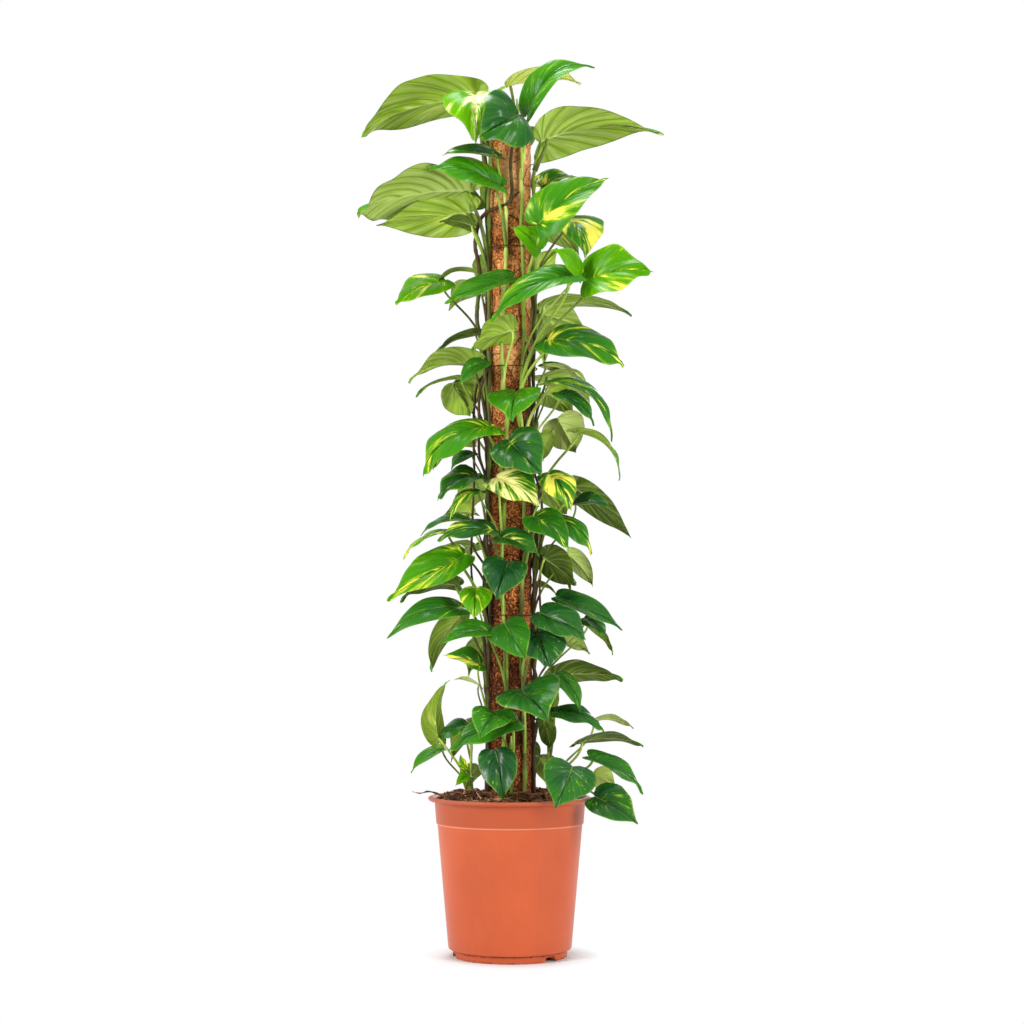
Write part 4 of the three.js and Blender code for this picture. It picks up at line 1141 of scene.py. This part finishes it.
shootLeaves = [
    ([-103, 78, 30], [-92, 170, 42], 46, [-0.6, -0.5, 0.1], 0.14, "lime"),
    ([-62, 104, 18], [-105, 84, 28], 50, [0, 0.4, 0.9], 0.08, "dark"),
    ([10, 110, 70], [-91, 67, 92], 54, [0, 0.65, 0.75], 0.1, "mid"),
    ([-20, 118, 94], [-45, 86, 130], 58, [0, 0.7, 0.7], 0.08, "mid"),
    ([-96, 68, 15], [-146, 34, 38], 36, [-0.3, 0.4, 0.8], 0.08, "olive"),
    ([-22, 66, 85], [-10, -6, 108], 58, [0, 0.95, 0.25], 0.05, "deep"),
    ([92, 43, 100], [66, -17, 130], 80, [0, 0.9, 0.4], 0.05, "dark"),
    ([50, 110, 25], [60, 67, 38], 34, [0.3, -0.7, 0.4], 0.06, "oliveDark"),
    ([60, 122, 50], [140, 95, 82], 46, [0, 0.5, 0.85], 0.12, "dark"),
    ([100, 77, 0], [196, 75, -25], 54, [0, -0.35, 1], 0.08, "oliveDark"),
    ([120, 108, -45], [182, 99, -75], 34, [0, -0.3, 0.9], 0.12, "pale"),
    ([117, 56, 28], [199, 9, 42], 52, [0.4, 0.4, 0.8], 0.04, "mid"),
    ([122, 30, 0], [155, 16, -15], 44, [0.3, -0.8, 0.3], 0.05, "pale"),
    ([124, -1, 62], [188, -40, 92], 62, [0.1, 0.8, 0.5], 0.06, "speck", {"lift": 32}),   # clears the lip
    ([-60, 30, 40], [-80, 16, 55], 20, [-0.3, 0.8, 0.4], 0.08, "fresh"),
    ([-64, 38, 35], [-73, 60, 40], 15, [-0.3, 0.8, 0.2], 0.06, "lime"),
    ([15, 80, -65], [25, 15, -126], 56, [0, -0.75, 0.65], 0.1, "mid"),
    ([-44, 44, -70], [-66, 6, -122], 44, [-0.3, -0.7, 0.65], 0.1, "dark"),
    ([42, 56, -68], [64, 4, -122], 46, [0.2, -0.7, 0.65], 0.1, "mid"),
]


def bladeSpot(leaf, along, out, t, place, off=0.0):  # a point of the blade's surface
    half = -1 if out < 0 else 1
    rise = leaf.arch * leaf.length * 4 * along * (1 - along)
    rise += abs(out) * leaf.width * leaf.fold
    rise += leaf.width * (leaf.dome * math.sin(math.pi * t) - leaf.curl * t ** 3)
    wave = math.sin(2 * math.pi * (leaf.waves * place + leaf.phase + half * 0.17))
    rise += leaf.width * leaf.wave * t * t * wave
    rise += leaf.width * leaf.twist * out * 2 * (along - 0.3)
    rise -= leaf.length * leaf.droop * max(0, along - blade["droopFrom"]) ** 2
    ripple = math.cos(2 * math.pi * veinTurn(leaf, place, half)) * math.sin(math.pi * t) ** 2
    rise -= leaf.width * leaf.quilt * ripple
    sideways = out * leaf.width + leaf.bow * leaf.length * 4 * along * (1 - along)
    return leaf.base + leaf.along * (along * leaf.length) + leaf.side * sideways + leaf.up * (rise + off)


def veinTurn(leaf, place, half):  # counts the veins from the stalk to the tip, unevenly
    uneven = 0.3 * math.sin(2 * math.pi * (1.3 * place + leaf.phase))
    uneven += 0.16 * math.sin(2 * math.pi * (3.1 * place + leaf.seed))
    return blade["veins"] * place + uneven + half * 0.2 * leaf.phase + 1


def shapeLeaf(leaf):  # what sets this leaf apart from the next
    rng = leaf.rng
    leaf.phase = rng.random()
    leaf.waves = blade["waves"] * rng.uniform(0.7, 1.3)
    leaf.wave = blade["wave"] * rng.uniform(0.3, 1.3)
    leaf.fold = blade["fold"] * rng.uniform(0.5, 1.7)
    leaf.dome = blade["dome"] * rng.uniform(0.2, 1.5)
    leaf.curl = blade["curl"] * rng.uniform(0, 1.4)
    leaf.twist = blade["twist"] * rng.uniform(-1, 1)
    leaf.bow = blade["bow"] * rng.uniform(-1, 1)
    leaf.lobe = rng.uniform(0.6, 1.2)
    leaf.halves = (rng.uniform(0.92, 1.04), rng.uniform(0.92, 1.04))
    leaf.droop = blade["droop"] * rng.uniform(0.1, 1.4)
    leaf.quilt = blade["quilt"] * (2 if leaf.length > blade["large"] else 1)
    leaf.seed = rng.random()
    leaf.full = 0                            # blunt above 0 and drawn out below it
    leaf.glow = 0                            # light through the blade
    leaf.lift = 0                            # how far its stalk arches up
    leaf.down = stems["stalkDown"]
    for key, value in leaf.form.items():
        setattr(leaf, key, value)


def veinEnds(row):  # where a vein leaves the midrib and where it meets the edge
    at = row * (len(blade["edge"]) - 1)
    return splineAt([(place,) for place in blade["rib"]], at) + splineAt(blade["edge"], at)


def spreadRows(count):  # rows set evenly by how far they move along the edge and the midrib
    steps = blade["edgeSteps"]
    fine = [veinEnds(s) for s in shares(steps)]
    travel = [0]
    for here, there in zip(fine, fine[1:]):
        travel.append(travel[-1] + math.dist(here[1:], there[1:]) + abs(there[0] - here[0]))
    rows = []
    k = 0
    for s in shares(count):
        wanted = travel[-1] * s
        while k < steps - 1 and travel[k + 1] < wanted:
            k += 1
        rows.append((k + (wanted - travel[k]) / (travel[k + 1] - travel[k])) / steps)
    return rows


def growBlade(heap, leaf):
    tone, gold, pale, under = leafLooks[leaf.look]
    columns = [-t for t in reversed(blade["across"])] + [0] + blade["across"]
    rows = min(max(round(leaf.length / blade["rowLength"]), blade["fewestRows"]), blade["mostRows"])
    faces = {1: [], -1: []}
    build = (leaf.length / 100, min(1, leaf.length / 150), leaf.rng.random())
    looks = {1: (tone, gold, pale), -1: (under, gold + leaf.glow, pale)}
    for i, row in enumerate(spreadRows(rows)):
        place = i / rows
        ribAlong, edgeAlong, edgeOut = veinEnds(row)
        if edgeAlong < 0:
            edgeAlong *= leaf.lobe
        inside = 0 < i < rows
        for face in faces:
            line = []
            for signed in columns if inside else [0]:
                t = abs(signed)
                along = ribAlong + (edgeAlong - ribAlong) * t ** blade["veinBend"]
                out = edgeOut * signed * leaf.halves[signed > 0] * (1 + leaf.full * edgeAlong ** 2)
                uneven = noise.noise(Vector((place * 9, leaf.seed * 50, 3 if signed > 0 else 7)))
                out *= 1 + blade["ragged"] * uneven * t
                off = face * (blade["thick"] + (blade["edgeThick"] - blade["thick"]) * t * t) / 2
                if t < 0.1 and inside:       # the midrib is sunk above and stands out below
                    deep = blade["groove"] if face > 0 else blade["keel"] * (1.1 - place)
                    off -= leaf.width * (0.4 if t else 1) * deep
                spot = bladeSpot(leaf, along, out, t, place, off)
                vein = (veinTurn(leaf, place, -1 if out < 0 else 1), 0, 0)
                line.append(heap.point(spot, (place, signed, leaf.seed), looks[face], build, vein))
            faces[face].append(line)
    closeBlade(heap, faces[1], faces[-1])


def closeBlade(heap, top, under):
    for i in range(len(top) - 1):
        for corners in strip(top[i], top[i + 1], False):
            heap.face(corners)
        for corners in strip(under[i], under[i + 1], False):
            heap.face(corners[:1] + corners[:0:-1], 1)       # turned over, on the same diagonal
        heap.face((top[i][-1], under[i][-1], under[i + 1][-1], top[i + 1][-1]), 1)
        heap.face((top[i + 1][0], under[i + 1][0], under[i][0], top[i][0]), 1)


def leafPattern(paint):  # gold that runs out along the veins, in streaks, patches and flecks
    p = SimpleNamespace()
    p.place, across, seed = paint.mark("leafPlace")
    p.tone, p.gold, p.pale = paint.mark("leafLook")
    long, p.pleat, p.own = paint.mark("leafBuild")
    p.away = across.size()
    p.streak = paint.cloud(paint.join(p.place * (9 + long * 7), across * 1.1, seed * 60), 1, 4, 0.6)
    p.patch = paint.cloud(paint.join(p.place * 4, across * 0.9, seed * 90 + 7), 1, 2)
    p.speck = paint.cloud(paint.join(p.place * (22 + long * 20), across * 5, seed * 40 + 3), 1, 2)
    level = p.streak * 0.55 + p.patch * 0.55 + p.speck * 0.08 - 0.09
    inner = (0.42 - p.away) * p.pale * 0.2                   # pale leaves are palest inside
    p.above = level - (0.79 - p.gold * 0.58) + inner
    p.band = paint.mark("leafPleat")[0].wrapped()
    p.vein = 1 - (p.band - 0.5).size() * 2                   # 1 midway between two veins
    p.veinLine = ((1 - p.vein) * 6 - 5).held()
    return p


def leafTopPaint():
    paint = Paint("leafTop", Specular_IOR_Level=0.07, Coat_Roughness=0.2)
    p = leafPattern(paint)
    depth = p.tone + p.patch * 0.4 + p.streak * 0.3 + p.away * 0.14 + p.place * 0.12 - 0.5
    green = paint.ramp(depth.held(), [
        (0, blade["deepGreen"]), (0.45, blade["midGreen"]), (1, blade["freshGreen"])])
    fleck = p.speck.over(0.65, 12) * p.patch.over(0.4, 5)
    colour = paint.mix(green, blade["lime"], (p.above * 9 + 0.45).held().most(fleck))
    golden = paint.mix(blade["gold"], blade["cream"], p.pale)
    colour = paint.mix(colour, golden, (p.above * 20 - 0.1).held())
    midrib = (1 - p.away * 26).held()
    pale = p.veinLine * 0.06 + midrib * 0.3 + p.away.over(0.95, 25) * (p.patch * 0.9 - 0.25)
    paint.set("Base Color", paint.mix(colour, blade["edgePale"], pale.held()))
    paint.set("Roughness", 0.17 + p.speck * 0.1 + p.patch * 0.09)
    paint.set("Coat Weight", ((0.85 - p.tone) * p.streak * 0.84).held())
    fine = paint.cloud(paint.place(), 700, 2)
    paint.bump(p.vein * 0.5 + p.streak * 0.8 + fine * 0.04 - midrib * 0.4, 0.6)
    return paint


def leafUnderPaint():
    paint = Paint("leafUnder", Specular_IOR_Level=0.1)
    p = leafPattern(paint)
    depth = p.tone + p.patch * 0.6 + p.streak * 0.5 + p.own * 0.3 - 0.72
    colour = paint.ramp(depth.held(), [
        (0, blade["underDark"]), (0.5, blade["under"]), (1, blade["underPale"])])
    thin = (p.above * 5 + 0.8).held().most(p.patch.over(0.5, 5))     # light through the thin gold parts
    colour = paint.mix(colour, blade["underLime"], thin * (p.gold * 2.4).held() * 0.75)
    colour = paint.mix(colour, blade["underGlow"], (p.above * 12 - 0.2).held() * 0.75)
    flankSheen = p.band.near(0.32, 4.4) * p.pleat                 # painted sheen: one side of each pleat shines grey
    colour = paint.mix(colour, blade["underSheen"], flankSheen * (p.streak * 1.7 - 0.45).held())
    # painted shade in the valley of each pleat
    creaseShade = p.band.near(0.78, 8) * p.pleat
    colour = paint.mix(colour, blade["underDark"], creaseShade * (p.streak * 1.5 - 0.15).held())
    midrib = (1 - p.away * 14).held()
    colour = paint.mix(colour, blade["underPale"], (p.veinLine * 0.2 + midrib * 0.75).held())
    paint.set("Base Color", paint.mix(colour, blade["underDark"], p.away.over(0.96, 30) * 0.6))
    paint.set("Roughness", 0.42 + p.speck * 0.2)
    fine = paint.cloud(paint.place(), 900, 2)
    paint.bump(p.veinLine * 0.8 + p.streak * 0.4 + fine * 0.2, 0.7)
    return paint


def makePlants():
    rng = random.Random(stems["seed"])
    bladePaints = [leafTopPaint(), leafUnderPaint()]
    skin = stemPaint()
    for kindName, rows in (("vines", vineLeaves), ("shoots", shootLeaves)):
        kind = stems[kindName]
        leaves = [readLeaf(kind, i, *row) for i, row in enumerate(rows)]
        for leaf in leaves:
            shapeLeaf(leaf)
        for name in kind["bearings"]:
            own = [leaf for leaf in leaves if leaf.stem == name]
            wood = Heap("stemLook")
            growStem(wood, kind, name, own, rng)
            for vine, radius, green, places in stems["runners"]:
                if vine == name:
                    growRunner(wood, radius, green, places)
            foliage = Heap("leafPlace", "leafLook", "leafBuild", "leafPleat")
            for leaf in own:
                growStalk(wood, kind, leaf)
                growBlade(foliage, leaf)
            wood.piece(name + "_stem", [skin], "plant", name)
            foliage.piece(name + "_leaves", bladePaints, "plant", name)
        print(kindName, "done:", len(leaves), "leaves")


bpy.context.scene.view_settings.view_transform = "Standard"
makeCamera()
makeLight()
makeFloor()
makePot()
makeSoil()
makeCoir()
makeCore()
makeTies()
makePlants()
